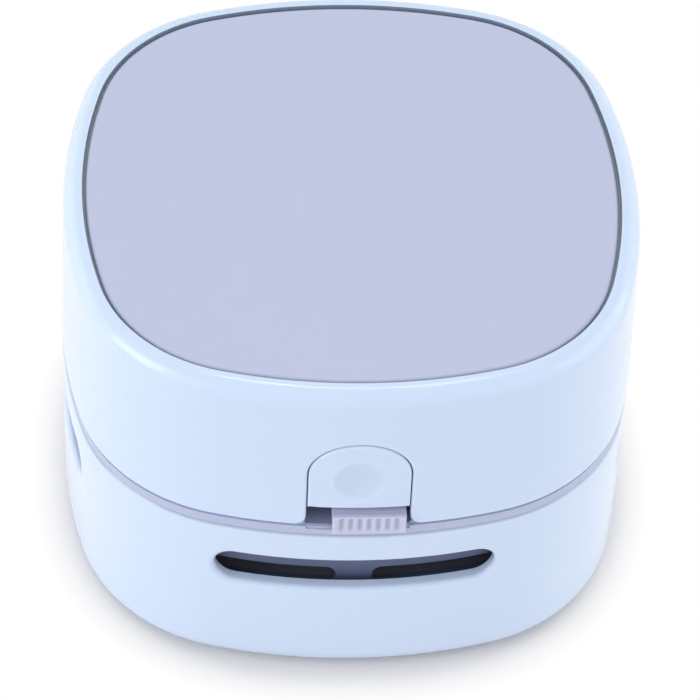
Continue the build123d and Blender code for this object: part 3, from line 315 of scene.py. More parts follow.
def shade(colour: Colour, factor: float) -> Colour:
    """The colour made lighter or darker."""
    return tuple(min(1.0, channel * factor) for channel in colour)


@dataclass(frozen=True)
class MouldedPlastic:
    """A coloured injection moulding."""

    colour: Colour
    gloss: Gloss
    grain: float = 0.35
    relief: float = 0.003
    cloud: float = 0.03
    glow: float = 0.0

    def material(self, name: str) -> bpy.types.Material:
        """Builds the material."""
        s = Shader(name)
        return s.surface(self.inputs(s))

    def inputs(self, s: Shader) -> dict[str, Any]:
        """The surface's inputs: flow clouding, a fine tool texture and faint rubbing marks.

        Args:
            s: The shader to build in.

        Returns:
            The surface's inputs, by name.
        """
        roughness, spread, coat = self.gloss.value
        clouding = s.noise(26.0, 2.0) * 0.7 + s.noise(5.0, 3.0) * 0.3
        rubbed = s.ramp(s.noise(1.4, 4.0, (0.12, 1.0, 1.0)), [(0.55, 0.0), (0.72, 1.0)])
        darker = shade(self.colour, 1.0 - self.cloud)
        lighter = shade(self.colour, 1.0 + self.cloud)
        return {
            "Base Color": s.mix(clouding, darker, lighter),
            "Roughness": roughness + spread * (clouding - 0.5) + 0.5 * spread * rubbed,
            "Coat Weight": coat,
            "Coat Roughness": COAT_ROUGHNESS,
            "Subsurface Weight": self.glow,
            "Subsurface Radius": (1.0, 1.0, 1.0),
            "Subsurface Scale": GLOW_DEPTH * MM,
            "Normal": s.bump(s.noise(self.grain, 2.0), self.relief),
        }


@dataclass(frozen=True)
class DimpledPlastic(MouldedPlastic):
    """A polished moulding whose round dimple is left dull from the tool, and darkened a little by
    painted shade.
    """

    dimple_height: float = 42.7
    dimple_radius: float = 4.1
    dimple_shade_tone: float = 0.97
    dullness: float = 0.25

    def inputs(self, s: Shader) -> dict[str, Any]:
        """The moulding's inputs, duller inside the dimple, and a little darker there by painted
        shade.

        Args:
            s: The shader to build in.

        Returns:
            The surface's inputs, by name.
        """
        inputs = super().inputs(s)
        point = s.place()
        rise = s.axis(point, "Z") - self.dimple_height
        reach = (s.axis(point, "X") ** 2 + rise**2) ** 0.5 * (1.0 / self.dimple_radius)
        dull = s.ramp(reach, [(0.8, 1.0), (0.97, 0.0)])
        # painted shade: the dimple's colour is darkened to stand for the shading in its hollow; its
        # duller finish is real
        dimple_shade_colour = shade(self.colour, self.dimple_shade_tone)
        inputs["Base Color"] = s.mix(dull, inputs["Base Color"], dimple_shade_colour)
        inputs["Roughness"] = inputs["Roughness"] + self.dullness * dull
        inputs["Coat Weight"] = inputs["Coat Weight"] * (1 - dull)
        return inputs


@dataclass(frozen=True)
class SeamedPlastic(MouldedPlastic):
    """A moulding darkened above a seam's height by painted shade, where the part above shades the
    crevice.
    """

    seam_height: float = 30.38
    seam_shade_tone: float = 0.7
    seam_sharpness: float = 3.0

    def inputs(self, s: Shader) -> dict[str, Any]:
        """The moulding's inputs, darkened by painted shade above the seam's height.

        Args:
            s: The shader to build in.

        Returns:
            The surface's inputs, by name.
        """
        inputs = super().inputs(s)
        # painted shade: the top edge is darkened where the collar shades the crevice
        rise = (s.axis(s.place(), "Z") - self.seam_height) * self.seam_sharpness
        above = s.ramp(rise, [(0.0, 0.0), (1.0, 1.0)])
        shade_colour = shade(self.colour, self.seam_shade_tone)
        inputs["Base Color"] = s.mix(above, inputs["Base Color"], shade_colour)
        return inputs


@dataclass(frozen=True)
class GroovedPlastic(MouldedPlastic):
    """A moulding with painted shade in the groove inside its rim."""

    rim_height: float = 59.93
    groove_bottom: float = 58.5
    groove_shade_tone: float = 0.45
    least_outward: float = 5.0

    def inputs(self, s: Shader) -> dict[str, Any]:
        """The moulding's inputs, darkened by painted shade where it faces up or inwards below the
        rim.

        Args:
            s: The shader to build in.

        Returns:
            The surface's inputs, by name.
        """
        inputs = super().inputs(s)
        point = s.place()
        height = s.axis(point, "Z")
        level = {0: s.facing(), 1: (1.0, 1.0, 0.0)}
        sideways = s.node("ShaderNodeVectorMath", {"operation": "MULTIPLY"}, level)
        pair = {0: sideways, 1: point}
        outward = s.node("ShaderNodeVectorMath", {"operation": "DOT_PRODUCT"}, pair, "Value")
        depth = (height < self.rim_height) * (height > self.groove_bottom)
        # painted shade: the groove round the panel is darkened where it faces up or inwards
        groove = (outward < self.least_outward) * depth
        shade_colour = shade(self.colour, self.groove_shade_tone)
        inputs["Base Color"] = s.mix(groove, inputs["Base Color"], shade_colour)
        return inputs


@dataclass(frozen=True)
class UpwardShadedPlastic(MouldedPlastic):
    """A moulding in the air's way, with painted shade laid as a dark colour on what faces up."""

    # painted shade: this dark colour is laid on what faces up, standing for the shade inside the
    # housing
    dust: Colour = (0.135, 0.14, 0.175)

    def inputs(self, s: Shader) -> dict[str, Any]:
        """The moulding's inputs, darkened by painted shade where it faces up.

        Args:
            s: The shader to build in.

        Returns:
            The surface's inputs, by name.
        """
        inputs = super().inputs(s)
        upward = s.axis(s.facing(), "Z")
        # painted shade: upward faces fade to the dark colour, patchy by noise, and grow rougher
        # with it
        upward_shade = s.ramp(upward + 0.3 * (s.noise(2.0) - 0.5), [(0.5, 0.0), (0.9, 0.85)])
        inputs["Base Color"] = s.mix(upward_shade, inputs["Base Color"], self.dust)
        inputs["Roughness"] = inputs["Roughness"] + 0.4 * upward_shade
        return inputs


@dataclass(frozen=True)
class FlutedPlastic(MouldedPlastic):
    """A moulding with finger flutes in its front, darkened by painted shade in their hollows."""

    front: float = -43.6
    flute_depth: float = 0.34
    flute_shade_tone: float = 0.82
    face_back: float = -43.0
    least_forward: float = -0.6

    def inputs(self, s: Shader) -> dict[str, Any]:
        """The moulding's inputs, darkened by painted shade in the flutes.

        Args:
            s: The shader to build in.

        Returns:
            The surface's inputs, by name.
        """
        inputs = super().inputs(s)
        along = s.axis(s.place(), "Y")
        depth = (along - self.front) * (1.0 / self.flute_depth)
        face = (s.axis(s.facing(), "Y") < self.least_forward) * (along < self.face_back)
        # painted shade: the flutes' hollows are darkened by their depth
        caught = s.ramp(depth, [(0.1, 0.0), (0.9, 1.0)]) * face
        shade_colour = shade(self.colour, self.flute_shade_tone)
        inputs["Base Color"] = s.mix(caught, inputs["Base Color"], shade_colour)
        return inputs


@dataclass(frozen=True)
class Metal:
    """A sheet or turned metal with fine lines along one axis."""

    colour: Colour
    roughness: float
    lines: Triple = (1.0, 1.0, 0.05)
    relief: float = 0.004

    def material(self, name: str) -> bpy.types.Material:
        """Builds the material: drawn lines, dull patches and small scratches.

        Args:
            name: The material's name.

        Returns:
            The material.
        """
        s = Shader(name)
        drawn = s.noise(0.25, 3.0, self.lines)
        patches = s.noise(3.0, 3.0)
        return s.surface(
            {
                "Base Color": s.mix(patches, shade(self.colour, 0.88), shade(self.colour, 1.05)),
                "Metallic": 1.0,
                "Roughness": self.roughness + 0.16 * (patches - 0.5) + 0.12 * (drawn - 0.5),
                "Normal": s.bump(drawn, self.relief),
            }
        )


@dataclass(frozen=True)
class SoftRubber:
    """A dull moulded rubber with a pebbled skin."""

    colour: Colour
    pebble: float = 0.25

    def material(self, name: str) -> bpy.types.Material:
        """Builds the material: pebbles, and a pale bloom between them.

        Args:
            name: The material's name.

        Returns:
            The material.
        """
        s = Shader(name)
        pebbles = s.cells(self.pebble)
        bloom = s.noise(2.5, 4.0)
        return s.surface(
            {
                "Base Color": s.mix(bloom, self.colour, shade(self.colour, 1.5)),
                "Roughness": 0.72 + 0.14 * (bloom - 0.5),
                "Normal": s.bump(pebbles, 0.02),
            }
        )


@dataclass(frozen=True)
class NylonHair:
    """Drawn nylon filaments."""

    colour: Colour
    tip_colour: Colour = (0.62, 0.62, 0.64)

    def material(self, name: str) -> bpy.types.Material:
        """Builds the material: each filament its own tone, paler towards its tip.

        Args:
            name: The material's name.

        Returns:
            The material.
        """
        s = Shader(name)
        tone = s.cells(0.22, output="Color")
        tip = s.ramp(s.axis(s.place(), "Z"), [(0.3, 1.0), (1.0, 0.0)])
        dark = s.mix(s.axis(tone, "X"), shade(self.colour, 0.7), shade(self.colour, 1.4))
        return s.surface(
            {
                "Base Color": s.mix(tip * 0.35, dark, self.tip_colour),
                "Roughness": 0.34 + 0.1 * s.noise(0.4),
                "Sheen Weight": 0.2,
            }
        )


@dataclass(frozen=True)
class FilterFelt:
    """Non-woven filter cloth: matted fibres with a bonded dot pattern."""

    colour: Colour
    dot: float = 1.1
    fibre: float = 0.16
    drawn: float = 0.15
    dust_colour: Colour = (0.45, 0.44, 0.42)

    def material(self, name: str) -> bpy.types.Material:
        """Builds the material: crossing fibres, bonding dots and a little caught dust.

        Args:
            name: The material's name.

        Returns:
            The material.
        """
        s = Shader(name)
        lays = ((self.drawn, 1.0, 1.0), (1.0, self.drawn, 1.0))
        along, across = (0.5 * s.noise(self.fibre, 4.0, lay) for lay in lays)
        fibres = along + across
        dots = s.ramp(s.cells(self.dot), [(0.12, 0.0), (0.3, 1.0)])
        dust = s.ramp(s.noise(4.0, 5.0), [(0.5, 0.0), (0.8, 1.0)])
        clean = s.mix(fibres, shade(self.colour, 0.86), self.colour)
        return s.surface(
            {
                "Base Color": s.mix(dust * 0.3, clean, self.dust_colour),
                "Roughness": 0.9 - 0.08 * fibres,
                "Sheen Weight": 0.25,
                "Normal": s.bump(fibres * 0.6 + dots * 0.4, 0.12),
            }
        )


@dataclass(frozen=True)
class SolderMask:
    """A printed board: lacquer over copper tracks."""

    lacquer: Colour
    copper: Colour
    track: float = 1.3
    hole_pitch: float = 2.9
    hole_reach: float = 0.09

    def material(self, name: str) -> bpy.types.Material:
        """Builds the material: tracks under the lacquer and tinned through-holes.

        Args:
            name: The material's name.

        Returns:
            The material.
        """
        s = Shader(name)
        across = s.axis(s.cells(self.track, "Position"), "X")
        lanes = s.node("ShaderNodeMath", {"operation": "PINGPONG"}, {0: across, 1: self.track})
        tracks = s.ramp(lanes * (1.0 / self.track), [(0.45, 0.0), (0.5, 1.0)])
        holes = s.cells(self.hole_pitch) < self.hole_reach
        masked = s.mix(tracks * 0.8, self.lacquer, shade(self.lacquer, 1.9))
        return s.surface(
            {
                "Base Color": s.mix(holes, masked, self.copper),
                "Metallic": holes,
                "Roughness": 0.34 + 0.1 * s.noise(1.0) - 0.06 * tracks,
                "Normal": s.bump(tracks, 0.03),
            }
        )


@dataclass(frozen=True)
class ShrinkSleeve:
    """Thin printed film shrunk over a round cell."""

    colour: Colour
    half_length: float = 25.0

    def material(self, name: str) -> bpy.types.Material:
        """Builds the material: film wrinkled towards the cell's ends.

        Args:
            name: The material's name.

        Returns:
            The material.
        """
        s = Shader(name)
        reach = abs(s.axis(s.place(), "X")) * (1.0 / self.half_length)
        end = s.ramp(reach, [(0.86, 0.0), (1.0, 1.0)])
        wrinkles = s.noise(0.7, 3.0, (0.2, 1.0, 1.0))
        cloud = s.noise(8.0)
        return s.surface(
            {
                "Base Color": s.mix(cloud, shade(self.colour, 0.9), shade(self.colour, 1.1)),
                "Roughness": 0.26 + 0.1 * cloud,
                "Normal": s.bump(wrinkles * (0.25 + 0.75 * end), 0.08),
            }
        )


@dataclass(frozen=True)
class ClearAcrylic:
    """A frosted light pipe."""

    colour: Colour

    def material(self, name: str) -> bpy.types.Material:
        """Builds the material: clear plastic with a frosted, slightly clouded face.

        Args:
            name: The material's name.

        Returns:
            The material.
        """
        s = Shader(name)
        cloud = s.noise(0.8)
        return s.surface(
            {
                "Base Color": s.mix(cloud, shade(self.colour, 0.92), self.colour),
                "Roughness": 0.32 + 0.12 * cloud,
                "Transmission Weight": 0.35,
                "IOR": 1.49,
                "Normal": s.bump(s.noise(0.2), 0.004),
            }
        )


SHELL_BLUE = linear(203, 220, 244)
PANEL_BLUE = linear(184, 192, 218)
COLLAR_LAVENDER = linear(181, 190, 217)
KNOB_LAVENDER = linear(197, 200, 226)
DUSK_NAVY = linear(86, 95, 126)
# painted shade: the track is a darkened lavender, standing for the shade under the button
SHADED_TRACK_LAVENDER = linear(138, 142, 174)
NATURAL_WHITE = (0.74, 0.74, 0.73)
SOOT_BLACK = (0.035, 0.036, 0.04)
CHIP_BROWN = (0.23, 0.17, 0.11)


class Finishes:
    """The finishes that the pieces share, each built once."""

    def __init__(self) -> None:
        """Builds every material."""
        blue = {"gloss": Gloss.POLISHED, "grain": 0.8, "relief": 0.0015, "cloud": 0.012}
        lavender = {"gloss": Gloss.SATIN, "grain": 0.3, "cloud": 0.02, "glow": 0.5}
        # painted shade in the groove round the panel
        shell = GroovedPlastic(SHELL_BLUE, glow=0.5, **blue)
        self.shell = shell.material("shell_gloss_blue")
        # painted shade in the button's dimple
        button = DimpledPlastic(SHELL_BLUE, glow=0.5, **blue)
        self.button = button.material("button_gloss_blue")
        # painted shade along the lower shell's top edge, under the collar
        dust_box = SeamedPlastic(SHELL_BLUE, glow=0.25, **blue)
        self.dust_box = dust_box.material("dust_box_gloss_blue")
        panel = MouldedPlastic(PANEL_BLUE, Gloss.SATIN, grain=0.22, cloud=0.012)
        self.panel = panel.material("panel_satin_blue")
        self.lavender = MouldedPlastic(COLLAR_LAVENDER, **lavender).material("housing_lavender")
        # painted shade on the bulkhead's upward faces
        self.bulkhead = UpwardShadedPlastic(COLLAR_LAVENDER, **lavender).material("bulkhead_lavender")
        # painted shade in the knob's flutes
        knob = FlutedPlastic(KNOB_LAVENDER, Gloss.SATIN, grain=0.25, cloud=0.02, glow=0.5)
        self.knob = knob.material("knob_lavender")
        navy = MouldedPlastic(DUSK_NAVY, Gloss.SATIN, grain=0.3, cloud=0.04)
        self.navy = navy.material("satin_navy")
        # painted shade: the track's lavender is darkened to stand for the shade under the button
        shaded_track = MouldedPlastic(SHADED_TRACK_LAVENDER, Gloss.SATIN, grain=0.3, cloud=0.03)
        self.shaded_track = shaded_track.material("shaded_track_lavender")
        white = MouldedPlastic(NATURAL_WHITE, Gloss.SATIN, cloud=0.03)
        self.white = white.material("natural_white_moulding")
        dark = MouldedPlastic(SOOT_BLACK, Gloss.MATTE, grain=0.3, relief=0.012, cloud=0.12)
        self.dark = dark.material("dark_matte_moulding")
        self.rubber = SoftRubber((0.045, 0.045, 0.05)).material("soft_rubber")
        self.foot = SoftRubber((0.42, 0.44, 0.48), 0.35).material("pale_foot_rubber")
        self.bristle = NylonHair((0.05, 0.05, 0.06)).material("nylon_bristle")
        self.felt = FilterFelt((0.84, 0.84, 0.81)).material("filter_felt")
        self.zinc = Metal((0.62, 0.63, 0.65), 0.32, (1.0, 1.0, 1.0)).material("zinc_screw")
        self.steel = Metal((0.56, 0.57, 0.58), 0.24, (1.0, 0.2, 1.0)).material("ground_steel")
        self.can = Metal((0.60, 0.61, 0.62), 0.3, (0.6, 0.6, 0.04)).material("rolled_can_steel")
        self.nickel = Metal((0.66, 0.64, 0.60), 0.24, (0.08, 1.0, 1.0)).material("nickel_sheet")
        self.brass = Metal((0.78, 0.60, 0.28), 0.3, (1.0, 1.0, 0.1)).material("stamped_brass")
        self.gold = Metal((0.86, 0.66, 0.30), 0.25, (1.0, 0.1, 1.0)).material("gold_flash")
        self.solder = Metal((0.70, 0.71, 0.73), 0.22, (1.0, 1.0, 1.0), 0.02).material("tin_solder")
        self.board = SolderMask((0.010, 0.075, 0.035), (0.72, 0.70, 0.62)).material("green_board")
        ceramic = MouldedPlastic(CHIP_BROWN, Gloss.MATTE, grain=0.1, relief=0.01, cloud=0.1)
        self.ceramic = ceramic.material("chip_ceramic")
        self.sleeve = ShrinkSleeve((0.03, 0.13, 0.34)).material("cell_sleeve_blue")
        self.acrylic = ClearAcrylic((0.86, 0.89, 0.93)).material("frosted_acrylic")


# ---------------------------------------------------------------- mesh helpers


def new_piece(
    name: str, mesh: bmesh.types.BMesh, body: str, slot: str, *materials: bpy.types.Material
) -> bpy.types.Object:
    """Turns a bmesh into a piece that rides on a body.

    Args:
        name: The piece's name.
        mesh: Its geometry, in metres, which is freed.
        body: The CAD body that it moves with.
        slot: The record's material slot; it is not used.
        materials: Its materials, in order of the faces' material numbers.

    Returns:
        The new object.
    """
    data = bpy.data.meshes.new(name)
    bmesh.ops.recalc_face_normals(mesh, faces=mesh.faces)
    mesh.to_mesh(data)
    mesh.free()
    piece = bpy.data.objects.new(name, data)
    bpy.context.scene.collection.objects.link(piece)
    for material in materials:
        data.materials.append(material)
    for polygon in data.polygons:
        polygon.use_smooth = True
    data.set_sharp_from_angle(angle=math.radians(SHARP_FROM))
    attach(piece, body)
    return piece


def block(
    mesh: bmesh.types.BMesh, middle: Vector, size: Vector, bevel: float, material: int = 0
) -> None:
    """Adds a box with rounded edges.

    Args:
        mesh: The bmesh to add to.
        middle: The box's middle.
        size: Its size along X, Y and Z.
        bevel: How wide the rounding is.
        material: The material number of its faces.
    """
    shape = Matrix.LocRotScale(middle, None, size)
    corners = bmesh.ops.create_cube(mesh, size=1.0, matrix=shape)["verts"]
    edges = list({edge for corner in corners for edge in corner.link_edges})
    rounding = {"offset": bevel, "segments": 2, "affect": "EDGES", "profile": 0.6}
    faces = bmesh.ops.bevel(mesh, geom=edges, **rounding)["faces"]
    for face in {f for face in faces for vertex in face.verts for f in vertex.link_faces}:
        face.material_index = material


@dataclass
class Assembly:
    """A group of pieces that are built and dressed together."""

    finishes: Finishes

    def dress(self, material: bpy.types.Material, *nodes: str) -> None:
        """Gives CAD nodes a material.

        Args:
            material: The finish.
            nodes: The nodes' names.
        """
        for node in nodes:
            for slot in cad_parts[node].material_slots:
                slot.material = material
            LOG.info("dressed %s with %s", node, material.name)

    def announce(self, piece: bpy.types.Object) -> None:
        """Reports a new piece."""
        LOG.info("built %s, %d faces", piece.name, len(piece.data.polygons))


# ---------------------------------------------------------------- dust box


@dataclass
class DustBox(Assembly):
    """The lower shell on its four feet."""

    def build(self) -> None:
        """Dresses the shell and the feet."""
        self.dress(self.finishes.dust_box, "lower_shell")
        self.dress(self.finishes.foot, "feet")


@dataclass
class IntakeNozzle(Assembly):
    """The nozzle plate under the dust box, with a row of bristles before and behind its mouth."""

    row_place: float = 7.5
    tuft_pitch: float = 1.8
    tufts: int = 24
    tuft_radius: float = 0.5
    hairs: int = 14
    hair_radius: float = 0.075
    root_height: float = 1.3
    tip_height: float = 0.28
    unevenness: float = 0.14
    taper: float = 0.45
    lean: float = 0.16

    def build(self) -> None:
        """Dresses the plate and its screws, and plants the bristles."""
        self.dress(self.finishes.dark, "intake_nozzle", "brush_carriers")
        self.dress(self.finishes.zinc, "nozzle_screws")
        self.announce(self.bristles())

    def bristles(self) -> bpy.types.Object:
        """Both rows of tufts, hair by hair, in place of the plain tufts.

        Returns:
            The new piece.
        """
        dice = random.Random(7)
        mesh = bmesh.new()
        first = -(self.tufts - 1) / 2 * self.tuft_pitch
        for row in (-self.row_place, self.row_place):
            for number in range(self.tufts):
                for hair in range(self.hairs):
                    turn = GOLDEN_TURN * hair
                    spread = self.tuft_radius * math.sqrt((hair + 0.5) / self.hairs)
                    along = first + number * self.tuft_pitch + spread * math.cos(turn)
                    root = Vector((along, row + spread * math.sin(turn), self.root_height))
                    tip = root + Vector((dice.gauss(0, self.lean), dice.gauss(0, self.lean), 0))
                    tip.z = self.tip_height + dice.uniform(0.0, self.unevenness)
                    self._hair(mesh, root, tip)
        piece = new_piece("bristle_rows", mesh, "dust_box", "bristle", self.finishes.bristle)
        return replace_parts(piece, "brush_bristles")

    def _hair(self, mesh: bmesh.types.BMesh, root: Vector, tip: Vector) -> None:
        """Adds one tapered four-sided hair, bowed on its way from root to tip.

        Args:
            mesh: The bmesh to add to.
            root: Where it is planted.
            tip: Where it ends.
        """
        rings = []
        for step in range(4):
            part = step / 3
            middle = root.lerp(tip, part * part)
            middle.z = root.z + (tip.z - root.z) * part
            radius = self.hair_radius * (1.0 - self.taper * part)
            ring = []
            for side in range(4):
                angle = side * math.pi / 2
                corner = Vector((math.cos(angle) * radius, math.sin(angle) * radius, 0))
                ring.append(mesh.verts.new((middle + corner) * MM))
            rings.append(ring)
        for lower, upper in zip(rings, rings[1:]):
            for side in range(4):
                mesh.faces.new((lower[side], lower[side - 1], upper[side - 1], upper[side]))
        mesh.faces.new(rings[0])
        mesh.faces.new(rings[-1])


# ---------------------------------------------------------------- machine, lower part


@dataclass
class FanHousing(Assembly):
    """The moulding whose collar shows between the halves, its exhaust ring and its bulkhead."""

    def build(self) -> None:
        """Dresses the housing, its ring, bulkhead, seal and long screws."""
        self.dress(self.finishes.lavender, "fan_housing")
        self.dress(self.finishes.bulkhead, "inlet_bulkhead")
        self.dress(self.finishes.navy, "exhaust_ring")
        self.dress(self.finishes.rubber, "chamber_seal")
        self.dress(self.finishes.zinc, "housing_screws")


@dataclass
class FilterCartridge(Assembly):
    """The spoked filter frame with its felt and gasket."""

    felt_radius: float = 22.65
    felt_bottom: float = 11.0
    felt_thickness: float = 0.72
    pillow: float = 0.16
    spokes: int = 8
    rings: int = 18
    sectors: int = 128

    def build(self) -> None:
        """Dresses the frame and gasket, and lays the felt in."""
        self.dress(self.finishes.white, "filter_frame")
        self.dress(self.finishes.rubber, "filter_gasket")
        self.announce(self.felt())

    def felt(self) -> bpy.types.Object:
        """The felt disc, drawn up a little between the spokes by the air.

        Returns:
            The new piece.
        """
        mesh = bmesh.new()
        felt_top = self.felt_bottom + self.felt_thickness
        sides = [self._side(mesh, height) for height in (self.felt_bottom, felt_top)]
        lower, upper = (rows[-1] for rows in sides)
        for sector in range(self.sectors):
            mesh.faces.new((lower[sector - 1], lower[sector], upper[sector], upper[sector - 1]))
        piece = new_piece("filter_felt", mesh, "filter", "filter", self.finishes.felt)
        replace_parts(piece, "filter_cloth")
        return piece

    def _side(self, mesh: bmesh.types.BMesh, height: float) -> list[list[bmesh.types.BMVert]]:
        """Adds one side of the disc and returns its rings of vertices, the rim last.

        Args:
            mesh: The bmesh to add to.
            height: The side's height where it is flat.

        Returns:
            The rings, from the inmost to the rim.
        """
        centre = mesh.verts.new(Vector((0, 0, height)) * MM)
        rows = []
        for ring in range(1, self.rings + 1):
            part = ring / self.rings
            row = []
            for sector in range(self.sectors):
                turn = 2 * math.pi * sector / self.sectors
                swell = (0.5 - 0.5 * math.cos(self.spokes * turn)) * math.sin(math.pi * part)
                radius = part * self.felt_radius
                x, y = radius * math.cos(turn), radius * math.sin(turn)
                row.append(mesh.verts.new(Vector((x, y, height + self.pillow * swell)) * MM))
            for sector in range(self.sectors):
                inner = (centre,) if not rows else (rows[-1][sector], rows[-1][sector - 1])
                mesh.faces.new((row[sector - 1], row[sector], *inner))
            rows.append(row)
        return rows


@dataclass
class Rotor(Assembly):
    """The impeller on the motor's shaft."""

    def build(self) -> None:
        """Dresses the impeller and the shaft."""
        self.dress(self.finishes.white, "impeller")
        self.dress(self.finishes.steel, "motor_shaft")


@dataclass
class Motor(Assembly):
    """The can motor on its damper, with soldered terminals."""

    terminal_place: float = 7.0
    joint_height: float = 54.6
    joint_size: float = 1.3
    joint_shape: Triple = (0.7, 0.8, 0.8)
    ripple: float = 0.12
    ripple_rate: float = 9.0

    def build(self) -> None:
        """Dresses the motor and adds the solder joints."""
        self.dress(self.finishes.can, "motor_can")
        self.dress(self.finishes.dark, "motor_end_cap")
        self.dress(self.finishes.brass, "motor_terminals")
        self.dress(self.finishes.rubber, "motor_damper")
        self.dress(self.finishes.zinc, "motor_screws")
        self.announce(self.joints())

    def joints(self) -> bpy.types.Object:
        """A bead of solder round the hole of each terminal.

        Returns:
            The new piece.
        """
        mesh = bmesh.new()
        for side in (-1, 1):
            middle = Vector((side * self.terminal_place, 0, self.joint_height)) * MM
            size = Vector(self.joint_shape) * self.joint_size * MM
            bead = Matrix.LocRotScale(middle, None, size)
            bmesh.ops.create_icosphere(mesh, subdivisions=3, radius=0.5, matrix=bead)
        for vertex in mesh.verts:
            vertex.co.z += self.ripple * MM * math.sin(self.ripple_rate / MM * vertex.co.y)
        return new_piece("terminal_solder", mesh, "machine", "screw", self.finishes.solder)


@dataclass
class CellPack(Assembly):
    """The round cell, strapped into its cradle."""

    def build(self) -> None:
        """Dresses the cell and what holds it."""
        self.dress(self.finishes.sleeve, "battery_cell")
        self.dress(self.finishes.white, "cell_cradle")
        self.dress(self.finishes.nickel, "cell_contacts")
        self.dress(self.finishes.dark, "cell_straps")


# ---------------------------------------------------------------- machine, upper part


@dataclass
class UpperCase(Assembly):
    """The upper shell and the panel set into its rim."""

    def build(self) -> None:
        """Dresses the shell and the panel."""
        self.dress(self.finishes.shell, "upper_shell")
        self.dress(self.finishes.panel, "top_panel")


@dataclass
class PushButton(Assembly):
    """The release button with its latch arms, spring and guide."""

    travel: float = 1.8
    spring_front: float = -41.549
    spring_back: float = -34.951
    spring_height: float = 41.4
    spring_radius: float = 2.1
    wire: float = 0.45
    turns: float = 6.5
    closed_turns: float = 0.9
    closed_gap: float = 1.02
    steps: int = 32
    sides: int = 12

    def build(self) -> None:
        """Dresses the button and its works, and winds the spring."""
        self.dress(self.finishes.button, "push_button")
        self.dress(self.finishes.white, "latch_arms", "latch_guide")
        self.dress(self.finishes.zinc, "guide_screws")
        self.announce(self.spring())

    def spring(self) -> bpy.types.Object:
        """The return spring, with closed ends.

        Returns:
            The new piece.
        """
        mesh = bmesh.new()
        count = round(self.turns * self.steps)
        rings = [self._wire_ring(mesh, self.turns * number / count) for number in range(count + 1)]
        for first, second in zip(rings, rings[1:]):
            for side in range(self.sides):
                mesh.faces.new((first[side - 1], first[side], second[side], second[side - 1]))
        mesh.faces.new(rings[0])
        mesh.faces.new(rings[-1])
        piece = new_piece("return_spring", mesh, "machine", "steel", self.finishes.steel)
        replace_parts(piece, "button_spring")
        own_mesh(piece)
        return piece

    def _wire_middle(self, turn: float) -> Vector:
        """The middle of the wire after that many turns: end coils lie close, the rest are open.

        Args:
            turn: How many turns, from the front.

        Returns:
            The point, in millimetres.
        """
        length = self.spring_back - self.spring_front - self.wire
        closed = self.closed_gap * self.wire
        open_turns = self.turns - 2 * self.closed_turns
        pitch = (length - 2 * self.closed_turns * closed) / open_turns
        active = min(max(turn - self.closed_turns, 0.0), open_turns)
        along = self.spring_front + self.wire / 2 + active * pitch + (turn - active) * closed
        angle = 2 * math.pi * turn
        rise = self.spring_radius * math.sin(angle)
        return Vector((self.spring_radius * math.cos(angle), along, self.spring_height + rise))

    def _wire_ring(self, mesh: bmesh.types.BMesh, turn: float) -> list[bmesh.types.BMVert]:
        """Adds one ring of vertices round the wire.

        Args:
            mesh: The bmesh to add to.
            turn: How many turns, from the front.

        Returns:
            The ring's vertices.
        """
        middle = self._wire_middle(turn)
        ahead = (self._wire_middle(turn + 0.01) - self._wire_middle(turn - 0.01)).normalized()
        outward = Vector((middle.x, 0, middle.z - self.spring_height)).normalized()
        outward = (outward - ahead * outward.dot(ahead)).normalized()
        across = ahead.cross(outward)
        ring = []
        for side in range(self.sides):
            angle = 2 * math.pi * side / self.sides
            reach = outward * math.cos(angle) + across * math.sin(angle)
            ring.append(mesh.verts.new((middle + reach * (self.wire / 2)) * MM))
        return ring


